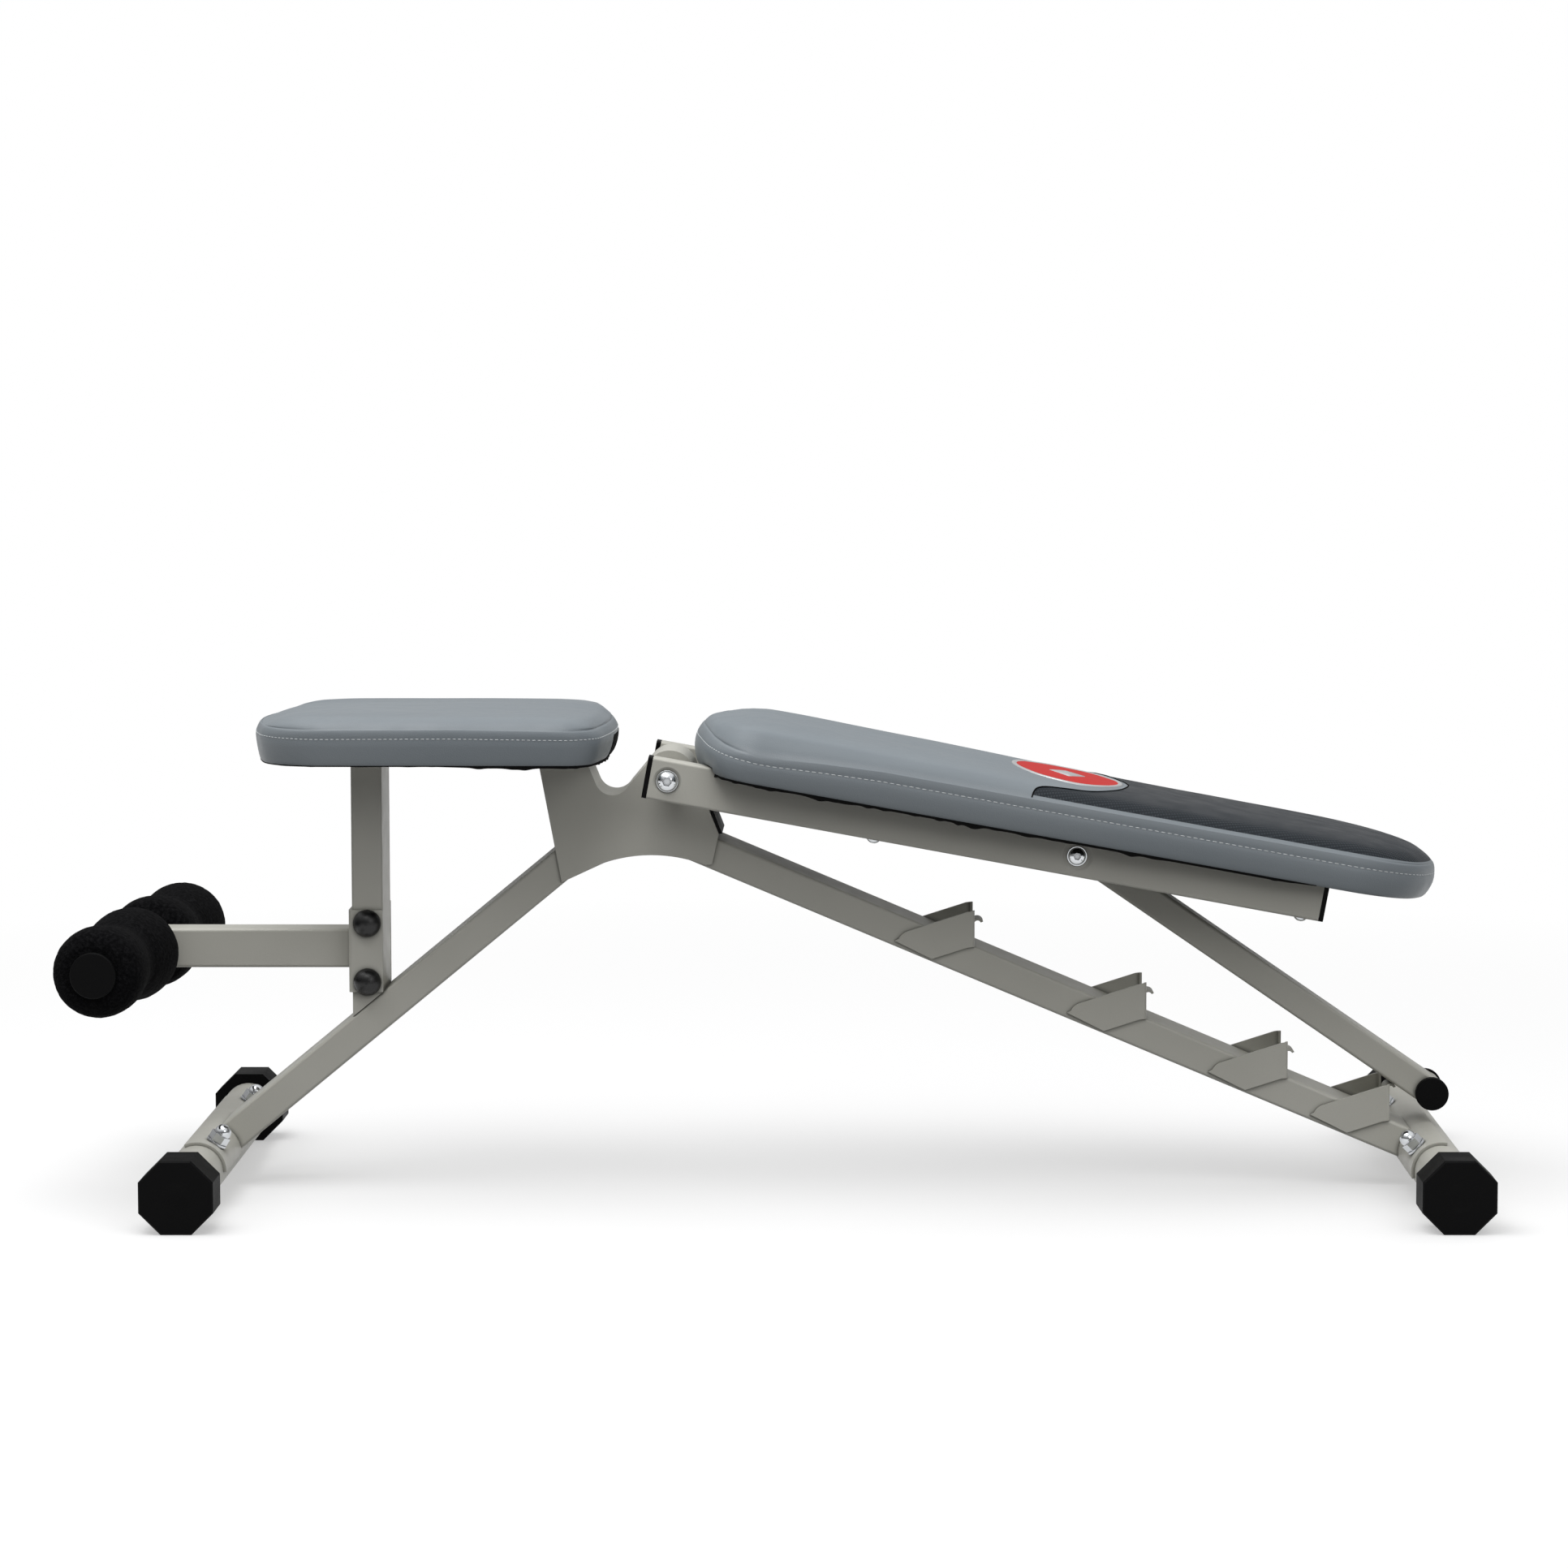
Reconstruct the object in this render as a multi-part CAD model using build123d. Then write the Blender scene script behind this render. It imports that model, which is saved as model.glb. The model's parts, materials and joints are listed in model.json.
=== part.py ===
"""Decline sit-up bench: fixed seat, five-position backrest with a strut, and a leg-roller arm.

Frame: millimetres, +Z up, origin on the floor under the middle of the bench's outer box.
+X runs from the leg rollers to the head of the backrest. The bench is symmetric about the XZ plane,
apart from the bolt heads and the slight skew of the roller bar. The X dimensions below are measured
from a drawing datum, and save() moves every part from it to the origin.
"""
from build123d import *
import math
import os

# ---------------------------------------------------------------- driving dimensions
DATUM_X = 6.156

# Feet
FRONT_FOOT_X = -551.5
REAR_FOOT_X = 629.4
CAP_FLATS = 69.0
CAP_OUTER_Y = 283.0
CAP_DEPTH = 50.0
FOOT_TUBE_R = 25.4
FOOT_TUBE_WALL = 2.0
FOOT_TUBE_HALF = 277.0
CLAMP_THICK = 3.0
CLAMP_HALF = 145.0
CLAMP_SPAN = 115.0
FRONT_CLAMP_ANGLE = 57.0
REAR_CLAMP_ANGLE = 136.0
CLAMP_BOLT_Y = 121.0
FOOT_Z = CAP_FLATS / 2

# Main tubes: 30 mm in side view, 76 mm across the bench
MAIN_HEIGHT = 30.0
MAIN_WIDTH = 76.0
MAIN_WALL = 2.0
MAIN_CORNER = 3.0
FRONT_LEG_RISE = 39.5
LADDER_RISE = 22.85
POST_X = -398.8
POST_TOP = 421.0
FRONT_LEG_END_X = -165.0
LADDER_END_X = -104.0

# Saddle between the legs
PLATE_THICK = 2.5
PIVOT_X = -105.4
PIVOT_Z = 402.8
LOBE_R = 24.2
PIVOT_SLEEVE_R = 14.0
PIVOT_BOLT_R = 6.0
RUNNING_GAP = 0.05

# Seat
SEAT_MOUNT_THICK = 3.0
SEAT_LIP_Z = 419.8
SEAT_TOP_Z = 465.0
SEAT_FRONT_X = -507.0
SEAT_REAR_X = -157.0
SEAT_HALF = 143.0
BOARD_THICK = 12.0
BOARD_INSET = 8.0
CLOTH_THICK = 0.8

# Backrest, in its own frame: u along the rails from the pivot, w square to them
BACK_ANGLE = 10.4
RAIL_HEIGHT = 40.0
RAIL_WIDTH = 25.0
RAIL_WALL = 2.0
RAIL_OUTER_Y = 103.0
RAIL_START = -17.0
RAIL_END = 634.0
PLUG_FLANGE = 4.6
DIMPLE_DEPTH = 1.2
PAD_START = 16.8
PAD_END = 748.0
PAD_LIP_W = 15.0
PAD_TOP_W = 65.5
PAD_FOOT_HALF = 147.0
PAD_HEAD_HALF = 126.0
PAD_BOLT_U = (203.0, 618.0)
BADGE_U = 379.0
BADGE_LENGTH = 110.0
BADGE_WIDTH = 168.0

# Strut, in its own frame: s along the strut from its upper pivot
STRUT_PIVOT_U = 396.5
STRUT_ANGLE = 34.5
STRUT_LENGTH = 424.7
STRUT_HEIGHT = 27.0
STRUT_WIDTH = 50.0
STRUT_SLEEVE_R = 12.0
STRUT_BOLT_R = 5.0
BAR_R = 14.0
BAR_HALF = 29.0
BAR_CAP_R = 16.0
BAR_CAP_HALF = 33.0

# Catches on the ladder: X of each rear wall
CATCH_X = (189.0, 355.7, 493.1, 592.4)
TONGUE_RISES = (24.5, 24.5, 24.5, 32.1)
WING_RISE = 34.8
NOTCH_RISE = 17.5
TONGUE_HALF = 12.0
NOTCH_HALF = 34.5

# Leg-roller arm
ARM_Z = 232.2
ARM_SIZE = 38.0
ARM_FRONT_X = -646.0
ARM_BOLT_Z = (202.0, 259.2)
ARM_BOLT_R = 4.0
BRACKET_THICK = 3.0
ROLLER_X = -622.4
ROLLER_Z = 230.5
ROLLER_BAR_R = 12.5
ROLLER_BAR_HALF = 206.0
LOBE_MAX_R = 41.5
WAIST_R = 34.5
ROLLER_SKEW = 3.9
FOAM_INNER_Y = 22.5
FOAM_OUTER_Y = 205.6

os.makedirs("parts", exist_ok=True)
NEAR = -1
FAR = 1
SIDES = (NEAR, FAR)


# ---------------------------------------------------------------- helpers
def save(shape, name):
    """Moves a sub-part from the datum to the origin and writes it: one solid, or several on one node."""
    solids = (Pos(DATUM_X, 0, 0) * shape).solids()
    body = solids[0] if len(solids) == 1 else Compound(children=list(solids))
    export_step(body, f"parts/{name}.step")


def outline(start, *steps):
    """Closed face in the XZ plane. Two numbers are a straight edge to that point, and four are an
    arc through the first point to the second."""
    edges = []
    here = Vector(start[0], 0, start[1])
    for step in steps:
        there = Vector(step[-2], 0, step[-1])
        if len(step) == 2:
            edges.append(Edge.make_line(here, there))
        else:
            edges.append(Edge.make_three_point_arc(here, Vector(step[0], 0, step[1]), there))
        here = there
    return Face(Wire(edges))


def slab(face, y_low, y_high):
    """Solid of an XZ face between two Y planes."""
    return extrude(Pos(0, y_low, 0) * face, amount=y_high - y_low, dir=(0, 1, 0))


def rod(radius, y_low, y_high, x=0.0, z=0.0):
    """Solid cylinder along Y."""
    return Pos(x, (y_low + y_high) / 2, z) * Rot(90, 0, 0) * Cylinder(radius, y_high - y_low)


def pipe(outer, inner, y_low, y_high, x=0.0, z=0.0):
    """Hollow cylinder along Y."""
    return rod(outer, y_low, y_high, x, z) - rod(inner, y_low, y_high, x, z)


def block(x_low, x_high, y_low, y_high, z_low, z_high):
    """Box given by its limits."""
    size = Box(x_high - x_low, y_high - y_low, z_high - z_low)
    return Pos((x_low + x_high) / 2, (y_low + y_high) / 2, (z_low + z_high) / 2) * size


def beam(x_low, x_high, width, height, corner):
    """Solid bar along local X with rounded long edges."""
    section = Plane.YZ * RectangleRounded(width, height, corner)
    return Pos(x_low, 0, 0) * extrude(section, amount=x_high - x_low)


def beam_tube(x_low, x_high, width, height, wall, corner):
    """Hollow bar along local X with rounded long edges."""
    inner = beam(x_low, x_high, width - 2 * wall, height - 2 * wall, max(corner - wall, 0.5))
    return beam(x_low, x_high, width, height, corner) - inner


def polygon(count, radius, turn=0.0):
    """Corner points of a regular polygon in a plane, as (across, up) pairs."""
    turns = [math.radians(turn + 360 * step / count) for step in range(count)]
    return [(radius * math.cos(a), radius * math.sin(a)) for a in turns]


def prism_z(points, z_low, z_high):
    """Prism along Z on a closed run of points."""
    face = Face(Wire.make_polygon([Vector(x, y, z_low) for x, y in points], close=True))
    return extrude(face, amount=z_high - z_low, dir=(0, 0, 1))


def hex_prism(flats, z_low, z_high):
    """Hexagonal prism along Z."""
    return prism_z(polygon(6, flats / math.sqrt(3)), z_low, z_high)


def disc(radius, z_low, z_high):
    """Solid cylinder along Z."""
    return Pos(0, 0, (z_low + z_high) / 2) * Cylinder(radius, z_high - z_low)


def dome(radius, height, z_base):
    """Spherical cap along +Z standing on a disc of the given radius."""
    ball = (radius * radius + height * height) / (2 * height)
    cap = Pos(0, 0, z_base + height - ball) * Sphere(ball)
    return cap & disc(radius, z_base, z_base + height)


def button_bolt(shank, under_head, tip, head_r, head_h, socket):
    """Domed socket bolt along Z: the shank runs from under_head up to tip, the head hangs below."""
    head = mirror(dome(head_r, head_h, 0), about=Plane.XY)
    head = head - hex_prism(socket, -head_h - 1, -head_h * 0.45)
    return Pos(0, 0, under_head) * head + disc(shank, under_head, tip)


def lock_nut(flats, bore, z_low, height):
    """Hexagon nut with a rounded collar on its outer end."""
    body = hex_prism(flats, z_low, z_low + height * 0.7)
    collar = disc(flats / 2 - 0.6, z_low + height * 0.7, z_low + height)
    return body + collar - disc(bore, z_low - 1, z_low + height + 1)


def across(shape):
    """Turns a shape made along +Z so that it points along +Y."""
    return Rot(-90, 0, 0) * shape


FRONT_FOOT = Pos(FRONT_FOOT_X, 0, FOOT_Z)
REAR_FOOT = Pos(REAR_FOOT_X, 0, FOOT_Z)
PIVOT = Pos(PIVOT_X, 0, PIVOT_Z)
BACK = PIVOT * Rot(0, BACK_ANGLE, 0)
back_cos = math.cos(math.radians(BACK_ANGLE))
back_sin = math.sin(math.radians(BACK_ANGLE))
STRUT_PIVOT_X = PIVOT_X + STRUT_PIVOT_U * back_cos
STRUT_PIVOT_Z = PIVOT_Z - STRUT_PIVOT_U * back_sin
STRUT = Pos(STRUT_PIVOT_X, 0, STRUT_PIVOT_Z) * Rot(0, STRUT_ANGLE, 0)
LEG = FRONT_FOOT * Rot(0, -FRONT_LEG_RISE, 0)
LADDER = REAR_FOOT * Rot(0, LADDER_RISE - 180, 0)
ladder_slope = math.tan(math.radians(LADDER_RISE))
half_main = MAIN_WIDTH / 2
plate_outer = half_main + PLATE_THICK


def ladder_top(x):
    """Height of the ladder's upper face above the floor."""
    return FOOT_Z + (REAR_FOOT_X - x) * ladder_slope + MAIN_HEIGHT / 2 / math.cos(math.radians(LADDER_RISE))


# ---------------------------------------------------------------- feet
def foot_cap(foot_x, side):
    """Octagonal end cap with a blind socket for the foot tube and a shallow dish in its face."""
    corner_r = CAP_FLATS / 2 / math.cos(math.radians(22.5))
    points = [(foot_x + a, FOOT_Z + b) for a, b in polygon(8, corner_r, 22.5)]
    face = outline(points[-1], *points)
    low, high = sorted((side * (CAP_OUTER_Y - CAP_DEPTH), side * CAP_OUTER_Y))
    cap = slab(face, low, high)
    outer = cap.faces().sort_by(Axis.Y)[0 if side == NEAR else -1]
    cap = chamfer(outer.edges(), 1.6)
    tube_end = side * FOOT_TUBE_HALF
    inner = side * (CAP_OUTER_Y - CAP_DEPTH - 1)
    cap = cap - rod(FOOT_TUBE_R, min(tube_end, inner), max(tube_end, inner), foot_x, FOOT_Z)
    dish = Pos(foot_x, side * (CAP_OUTER_Y + 51.2), FOOT_Z) * Sphere(53.0)
    return cap - dish


def clamp_plate(angle):
    """Part-cylinder plate that cradles the foot tube, centred on the foot axis."""
    low = math.radians(angle - CLAMP_SPAN / 2)
    mid = math.radians(angle)
    high = math.radians(angle + CLAMP_SPAN / 2)
    inner, outer = FOOT_TUBE_R, FOOT_TUBE_R + CLAMP_THICK

    def on(radius, turn):
        return radius * math.cos(turn), radius * math.sin(turn)

    face = outline(on(inner, low), (*on(inner, mid), *on(inner, high)), on(outer, high),
                   (*on(outer, mid), *on(outer, low)), on(inner, low))
    return slab(face, -CLAMP_HALF, CLAMP_HALF)


def foot_bolt_places(angle):
    """Places with +Z pointing out through the clamp, one for each foot bolt."""
    return [Pos(0, side * CLAMP_BOLT_Y, 0) * Rot(0, 90 - angle, 0) for side in SIDES]


clamp_outer = FOOT_TUBE_R + CLAMP_THICK
foot_bolts = []
foot_washers = []
foot_nuts = []
for label, foot, foot_x, angle in (
    ("front", FRONT_FOOT, FRONT_FOOT_X, FRONT_CLAMP_ANGLE),
    ("rear", REAR_FOOT, REAR_FOOT_X, REAR_CLAMP_ANGLE),
):
    tube = pipe(FOOT_TUBE_R, FOOT_TUBE_R - FOOT_TUBE_WALL, -FOOT_TUBE_HALF, FOOT_TUBE_HALF)
    clamp = clamp_plate(angle)
    for place in foot_bolt_places(angle):
        hole = place * disc(5.2, -FOOT_TUBE_R - 5, FOOT_TUBE_R + 5)
        tube = tube - hole
        clamp = clamp - hole
        seat_z = clamp_outer + 2.0
        bolt = button_bolt(5.0, -FOOT_TUBE_R, seat_z + 9, 9.5, 4.5, 6.0)
        nut = hex_prism(17.0, seat_z, seat_z + 8) - disc(5.0, seat_z - 1, seat_z + 9)
        shell = disc(8.0, seat_z + 8, seat_z + 10) + dome(8.0, 7.9, seat_z + 10)
        foot_bolts.append(foot * place * bolt)
        foot_washers.append(foot * place * (disc(10.2, clamp_outer, seat_z) - disc(5.1, clamp_outer, seat_z)))
        foot_nuts.append(foot * place * (nut + (shell - disc(5.0, seat_z + 7, seat_z + 9))))
    save(foot * tube, f"{label}_foot_tube")
    save(foot * clamp, f"{label}_foot_clamp")
    for side, side_name in ((NEAR, "near"), (FAR, "far")):
        save(foot_cap(foot_x, side), f"{label}_foot_cap_{side_name}")
save(Compound(children=foot_bolts), "foot_bolts")
save(Compound(children=foot_washers), "foot_washers")
save(Compound(children=foot_nuts), "foot_acorn_nuts")

# ---------------------------------------------------------------- legs, ladder and seat post
clamp_room = rod(clamp_outer, -60, 60)
front_leg = LEG * beam_tube(0, 620, MAIN_WIDTH, MAIN_HEIGHT, MAIN_WALL, MAIN_CORNER)
front_leg = front_leg - FRONT_FOOT * clamp_room - block(-1200, FRONT_FOOT_X, -60, 60, -100, 300)
front_leg = front_leg - block(FRONT_LEG_END_X, 400, -60, 60, 0, 900)
save(front_leg.solids().sort_by(SortBy.VOLUME)[-1], "front_leg")

ladder = LADDER * beam_tube(0, 900, MAIN_WIDTH, MAIN_HEIGHT, MAIN_WALL, MAIN_CORNER)
ladder = ladder - REAR_FOOT * clamp_room - block(-900, LADDER_END_X, -60, 60, 0, 900)
ladder = ladder - block(REAR_FOOT_X, 900, -60, 60, -100, 300)
save(ladder.solids().sort_by(SortBy.VOLUME)[-1], "ladder_tube")

leg_envelope = LEG * beam(-40, 620, MAIN_WIDTH, MAIN_HEIGHT, MAIN_CORNER)
leg_envelope = leg_envelope - block(FRONT_LEG_END_X, 400, -60, 60, 0, 900)
ladder_envelope = LADDER * beam(-40, 900, MAIN_WIDTH, MAIN_HEIGHT, MAIN_CORNER)
ladder_envelope = ladder_envelope - block(-900, LADDER_END_X, -60, 60, 0, 900)
leg_block = LEG * Box(1600, 2 * MAIN_WIDTH, MAIN_HEIGHT)

upright = Pos(POST_X, 0, 0) * Rot(0, -90, 0)
seat_post = upright * beam_tube(120, POST_TOP, MAIN_WIDTH, MAIN_HEIGHT, MAIN_WALL, MAIN_CORNER)
seat_post = seat_post - leg_block
post_hole_places = [Pos(POST_X, 0, z) for z in ARM_BOLT_Z]
for place in post_hole_places:
    seat_post = seat_post - place * rod(ARM_BOLT_R, -60, 60)
save(seat_post.solids().sort_by(Axis.Z)[-1], "seat_post")

# ---------------------------------------------------------------- saddle
NOTCH_FOOT = (-146.8, 391.3)
NOTCH_HEAD = (-122.8, 419.4)
notch_line = math.atan2(NOTCH_HEAD[1] - NOTCH_FOOT[1], NOTCH_HEAD[0] - NOTCH_FOOT[0])
lobe_left = (PIVOT_X - LOBE_R * math.sin(notch_line), PIVOT_Z + LOBE_R * math.cos(notch_line))
shoulder = (-66.0, 365.2)
shoulder_low = (-58.3, 346.0)
to_shoulder = math.hypot(shoulder[0] - PIVOT_X, shoulder[1] - PIVOT_Z)
tangent_turn = math.atan2(shoulder[1] - PIVOT_Z, shoulder[0] - PIVOT_X) + math.acos(LOBE_R / to_shoulder)
lobe_right = (PIVOT_X + LOBE_R * math.cos(tangent_turn), PIVOT_Z + LOBE_R * math.sin(tangent_turn))
lobe_top = (PIVOT_X, PIVOT_Z + LOBE_R)
saddle_face = outline(
    (-233.2, POST_TOP), (-210.3, 298.9), (-169.1, 318.0), (-127.0, 325.4, -71.1, 315.6),
    (-64.8, 316.4), shoulder_low, shoulder, lobe_right, (*lobe_top, *lobe_left),
    (-145.5, 392.5), (-161.0, 383.6, -176.2, 393.0), (-187.8, POST_TOP), (-233.2, POST_TOP),
)
inset_face = offset(saddle_face, amount=-PLATE_THICK, kind=Kind.INTERSECTION)
sleeve_hole = PIVOT * rod(PIVOT_SLEEVE_R, -60, 60)
for side, side_name in ((NEAR, "near"), (FAR, "far")):
    low, high = sorted((side * half_main, side * plate_outer))
    save(slab(saddle_face, low, high) - sleeve_hole, f"saddle_plate_{side_name}")

web = slab(saddle_face, -half_main, half_main) - slab(inset_face, -half_main, half_main)
web = web - leg_envelope - ladder_envelope
web = web - block(-300, -150, -60, 60, POST_TOP - PLATE_THICK - 0.1, POST_TOP + 10)
save(web, "saddle_web")

end_cap_face = outline(
    shoulder, shoulder_low, (shoulder_low[0] + 3.2, shoulder_low[1] + 0.4),
    (shoulder[0] + 2.2, shoulder[1] + 3.4), shoulder,
)
save(slab(end_cap_face, -plate_outer, plate_outer), "saddle_end_cap")
save(PIVOT * pipe(PIVOT_SLEEVE_R, PIVOT_BOLT_R + RUNNING_GAP, -77.5, 77.5), "pivot_sleeve")

# ---------------------------------------------------------------- catches
tongue_turns = [math.radians(a) for a in (180, 90, 25)]


def catch(wall_x, tongue_rise):
    """U-shaped strip on the ladder: two wings, a rear wall with a cut-down middle, and a curled tongue."""
    base = ladder_top(wall_x)
    top = base + WING_RISE
    side_view = outline(
        (wall_x, top), (wall_x, top - 35.3), (wall_x - 6.5, top - 35.8), (wall_x - 41.5, top - 47.0),
        (wall_x - 77.5, top - 29.0), (wall_x - 73.5, top - 27.0),
        (wall_x - 70.0, top - 22.4, wall_x - 64.4, top - 19.4), (wall_x - 6.5, top - 0.9), (wall_x, top),
    )
    plan = Pos(wall_x - 60, 0) * RectangleRounded(120, 2 * plate_outer, 3.5)
    hollow = Pos(wall_x - 60 - PLATE_THICK, 0) * RectangleRounded(120, 2 * half_main, 1.2)
    wrap = extrude(plan, amount=600) - extrude(hollow, amount=600)
    strip = slab(side_view, -plate_outer, plate_outer) & wrap
    strip = strip & block(wall_x - 80, wall_x + 1, -60, 60, 0, 600)
    under_ladder = outline(
        (wall_x - 8, ladder_top(wall_x - 8)), (wall_x + 8, ladder_top(wall_x + 8)),
        (wall_x + 8, 0), (wall_x - 8, 0), (wall_x - 8, ladder_top(wall_x - 8)),
    )
    strip = strip - slab(under_ladder, -half_main, half_main)
    strip = strip - block(wall_x - 6, wall_x + 1, -NOTCH_HALF, NOTCH_HALF, base + NOTCH_RISE, base + 60)
    curl_r = 6.0
    centre = (wall_x - PLATE_THICK + curl_r, base + tongue_rise - curl_r)
    outer = [(centre[0] + curl_r * math.cos(t), centre[1] + curl_r * math.sin(t)) for t in tongue_turns]
    inner_r = curl_r - PLATE_THICK
    inner = [(centre[0] + inner_r * math.cos(t), centre[1] + inner_r * math.sin(t)) for t in tongue_turns]
    root = base + NOTCH_RISE - 2.0
    tongue = outline(
        (outer[0][0], root), outer[0], (*outer[1], *outer[2]), inner[2],
        (*inner[1], *inner[0]), (inner[0][0], root), (outer[0][0], root),
    )
    return strip + slab(tongue, -TONGUE_HALF, TONGUE_HALF)


for number, (wall_x, tongue_rise) in enumerate(zip(CATCH_X, TONGUE_RISES), start=1):
    save(catch(wall_x, tongue_rise), f"catch_{number}")

# ---------------------------------------------------------------- leg-roller arm
# The bar leans a few degrees out of square, with its near end forward.
ROLLER = Pos(ROLLER_X, 0, ROLLER_Z) * Rot(0, 0, -ROLLER_SKEW)
arm_hub = ROLLER * rod(ROLLER_BAR_R, -60, 60)
arm_base_x = POST_X - MAIN_HEIGHT / 2 - BRACKET_THICK
arm = Pos(0, 0, ARM_Z) * beam_tube(ARM_FRONT_X, arm_base_x, ARM_SIZE, ARM_SIZE, 2.0, 3.0)
save(arm - arm_hub, "roller_arm")
plug = block(ARM_FRONT_X - 3, ARM_FRONT_X, -ARM_SIZE / 2, ARM_SIZE / 2, ARM_Z - 19, ARM_Z + 19)
plug = fillet(plug.edges().filter_by(Axis.X), 3.0)
plug = plug + Pos(0, 0, ARM_Z) * beam(ARM_FRONT_X, ARM_FRONT_X + 8, ARM_SIZE - 4, ARM_SIZE - 4, 1.0)
save(plug, "roller_arm_plug")

bracket_outer = half_main + BRACKET_THICK
bracket = block(arm_base_x, POST_X + MAIN_HEIGHT / 2, -bracket_outer, bracket_outer, 192.0, 272.0)
bracket = fillet(bracket.edges().filter_by(Axis.Z).sort_by(Axis.X)[:2], 4.0)
bracket = bracket - upright * beam(100, 400, MAIN_WIDTH, MAIN_HEIGHT, MAIN_CORNER)
bracket = bracket - block(POST_X, POST_X + 60, -half_main, half_main, 0, 400)
for place in post_hole_places:
    bracket = bracket - place * rod(ARM_BOLT_R, -60, 60)
save(bracket - leg_block, "roller_arm_bracket")

arm_bolts = []
arm_nuts = []
bolt_covers = []
for place in post_hole_places:
    head_face = -bracket_outer
    bolt = across(button_bolt(ARM_BOLT_R, head_face, bracket_outer + 6.5, 7.5, 4.5, 5.0))
    nut = across(hex_prism(13.0, bracket_outer, bracket_outer + 6.2) - disc(ARM_BOLT_R, 40, 60))
    arm_bolts.append(place * bolt)
    arm_nuts.append(place * nut)
    for side in SIDES:
        cover = disc(13.4, 0, 2.5) + dome(13.4, 9.6, 2.5)
        cover = cover - disc(8.2, -1, 6.4) - dome(8.2, 3.0, 6.4)
        turn = Rot(-90 * side, 0, 0)
        bolt_covers.append(place * Pos(0, side * bracket_outer, 0) * turn * cover)
save(Compound(children=arm_bolts), "roller_arm_bolts")
save(Compound(children=arm_nuts), "roller_arm_nuts")
save(Compound(children=bolt_covers), "roller_arm_bolt_covers")

save(ROLLER * pipe(ROLLER_BAR_R, ROLLER_BAR_R - 2, -ROLLER_BAR_HALF, ROLLER_BAR_HALF), "roller_bar")
end_plugs = []
for side in SIDES:
    plug = disc(21.8, 0, 5.0)
    plug = fillet(plug.edges().sort_by(Axis.Z)[-1], 1.5)
    plug = plug + disc(ROLLER_BAR_R - 2, -18, 0)
    end_plugs.append(ROLLER * Pos(0, side * ROLLER_BAR_HALF, 0) * Rot(-90 * side, 0, 0) * plug)
save(Compound(children=end_plugs), "roller_bar_plugs")


def foam_roller(side):
    """Two-lobed foam sleeve, turned about the roller bar."""
    bore = ROLLER_BAR_R + RUNNING_GAP
    middle = (FOAM_INNER_Y + FOAM_OUTER_Y) / 2
    inner_lobe = FOAM_INNER_Y + 31
    outer_lobe = FOAM_OUTER_Y - 31
    edge_r = 31.0
    crown = [
        (edge_r, FOAM_INNER_Y), (LOBE_MAX_R - 1.6, FOAM_INNER_Y + 13), (LOBE_MAX_R, inner_lobe),
        (WAIST_R + 2.6, middle - 17), (WAIST_R, middle), (WAIST_R + 2.6, middle + 17),
        (LOBE_MAX_R, outer_lobe), (LOBE_MAX_R - 1.6, FOAM_OUTER_Y - 13), (edge_r, FOAM_OUTER_Y),
    ]
    points = [Vector(radius, along, 0) for radius, along in crown]
    profile = [
        Edge.make_spline(points),
        Edge.make_line(points[-1], (bore, FOAM_OUTER_Y, 0)),
        Edge.make_line((bore, FOAM_OUTER_Y, 0), (bore, FOAM_INNER_Y, 0)),
        Edge.make_line((bore, FOAM_INNER_Y, 0), points[0]),
    ]
    foam = revolve(Face(Wire(profile)), axis=Axis.Y)
    return ROLLER * (foam if side == FAR else mirror(foam, about=Plane.XZ))


save(foam_roller(NEAR), "foam_roller_near")
save(foam_roller(FAR), "foam_roller_far")


# ---------------------------------------------------------------- pads
def pad_plan(foot, head):
    """Pad outline in the XY plane. Each end is (x, half width, bulge, corner radius)."""
    foot_x, foot_half, foot_bulge, foot_corner = foot
    head_x, head_half, head_bulge, head_corner = head
    foot_edge = foot_x + foot_bulge
    head_edge = head_x - head_bulge
    with BuildSketch() as plan:
        with BuildLine():
            Line((foot_edge, foot_half), (head_edge, head_half))
            ThreePointArc((head_edge, head_half), (head_x, 0), (head_edge, -head_half))
            Line((head_edge, -head_half), (foot_edge, -foot_half))
            ThreePointArc((foot_edge, -foot_half), (foot_x, 0), (foot_edge, foot_half))
        make_face()
        corners = plan.vertices().sort_by(Axis.X)
        fillet(corners[:2], foot_corner)
        fillet(plan.vertices().sort_by(Axis.X)[-2:], head_corner)
    return plan.face()


def pad_solids(plan, lip, board_low, top, crown_r):
    """Cover with foam, board and dust cloth for one pad, stacked along Z."""
    cushion = extrude(Pos(0, 0, lip) * plan, amount=top - lip, dir=(0, 0, 1))
    cushion = fillet(cushion.faces().sort_by(Axis.Z)[-1].edges(), crown_r)
    board_face = offset(plan, amount=-BOARD_INSET)
    cloth_low = board_low - CLOTH_THICK
    pocket_depth = board_low + BOARD_THICK - lip + 1
    board = extrude(Pos(0, 0, board_low) * board_face, amount=BOARD_THICK, dir=(0, 0, 1))
    cloth = extrude(Pos(0, 0, cloth_low) * board_face, amount=CLOTH_THICK, dir=(0, 0, 1))
    pocket = extrude(Pos(0, 0, lip - 1) * board_face, amount=pocket_depth, dir=(0, 0, 1))
    return cushion - pocket, board, cloth


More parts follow.
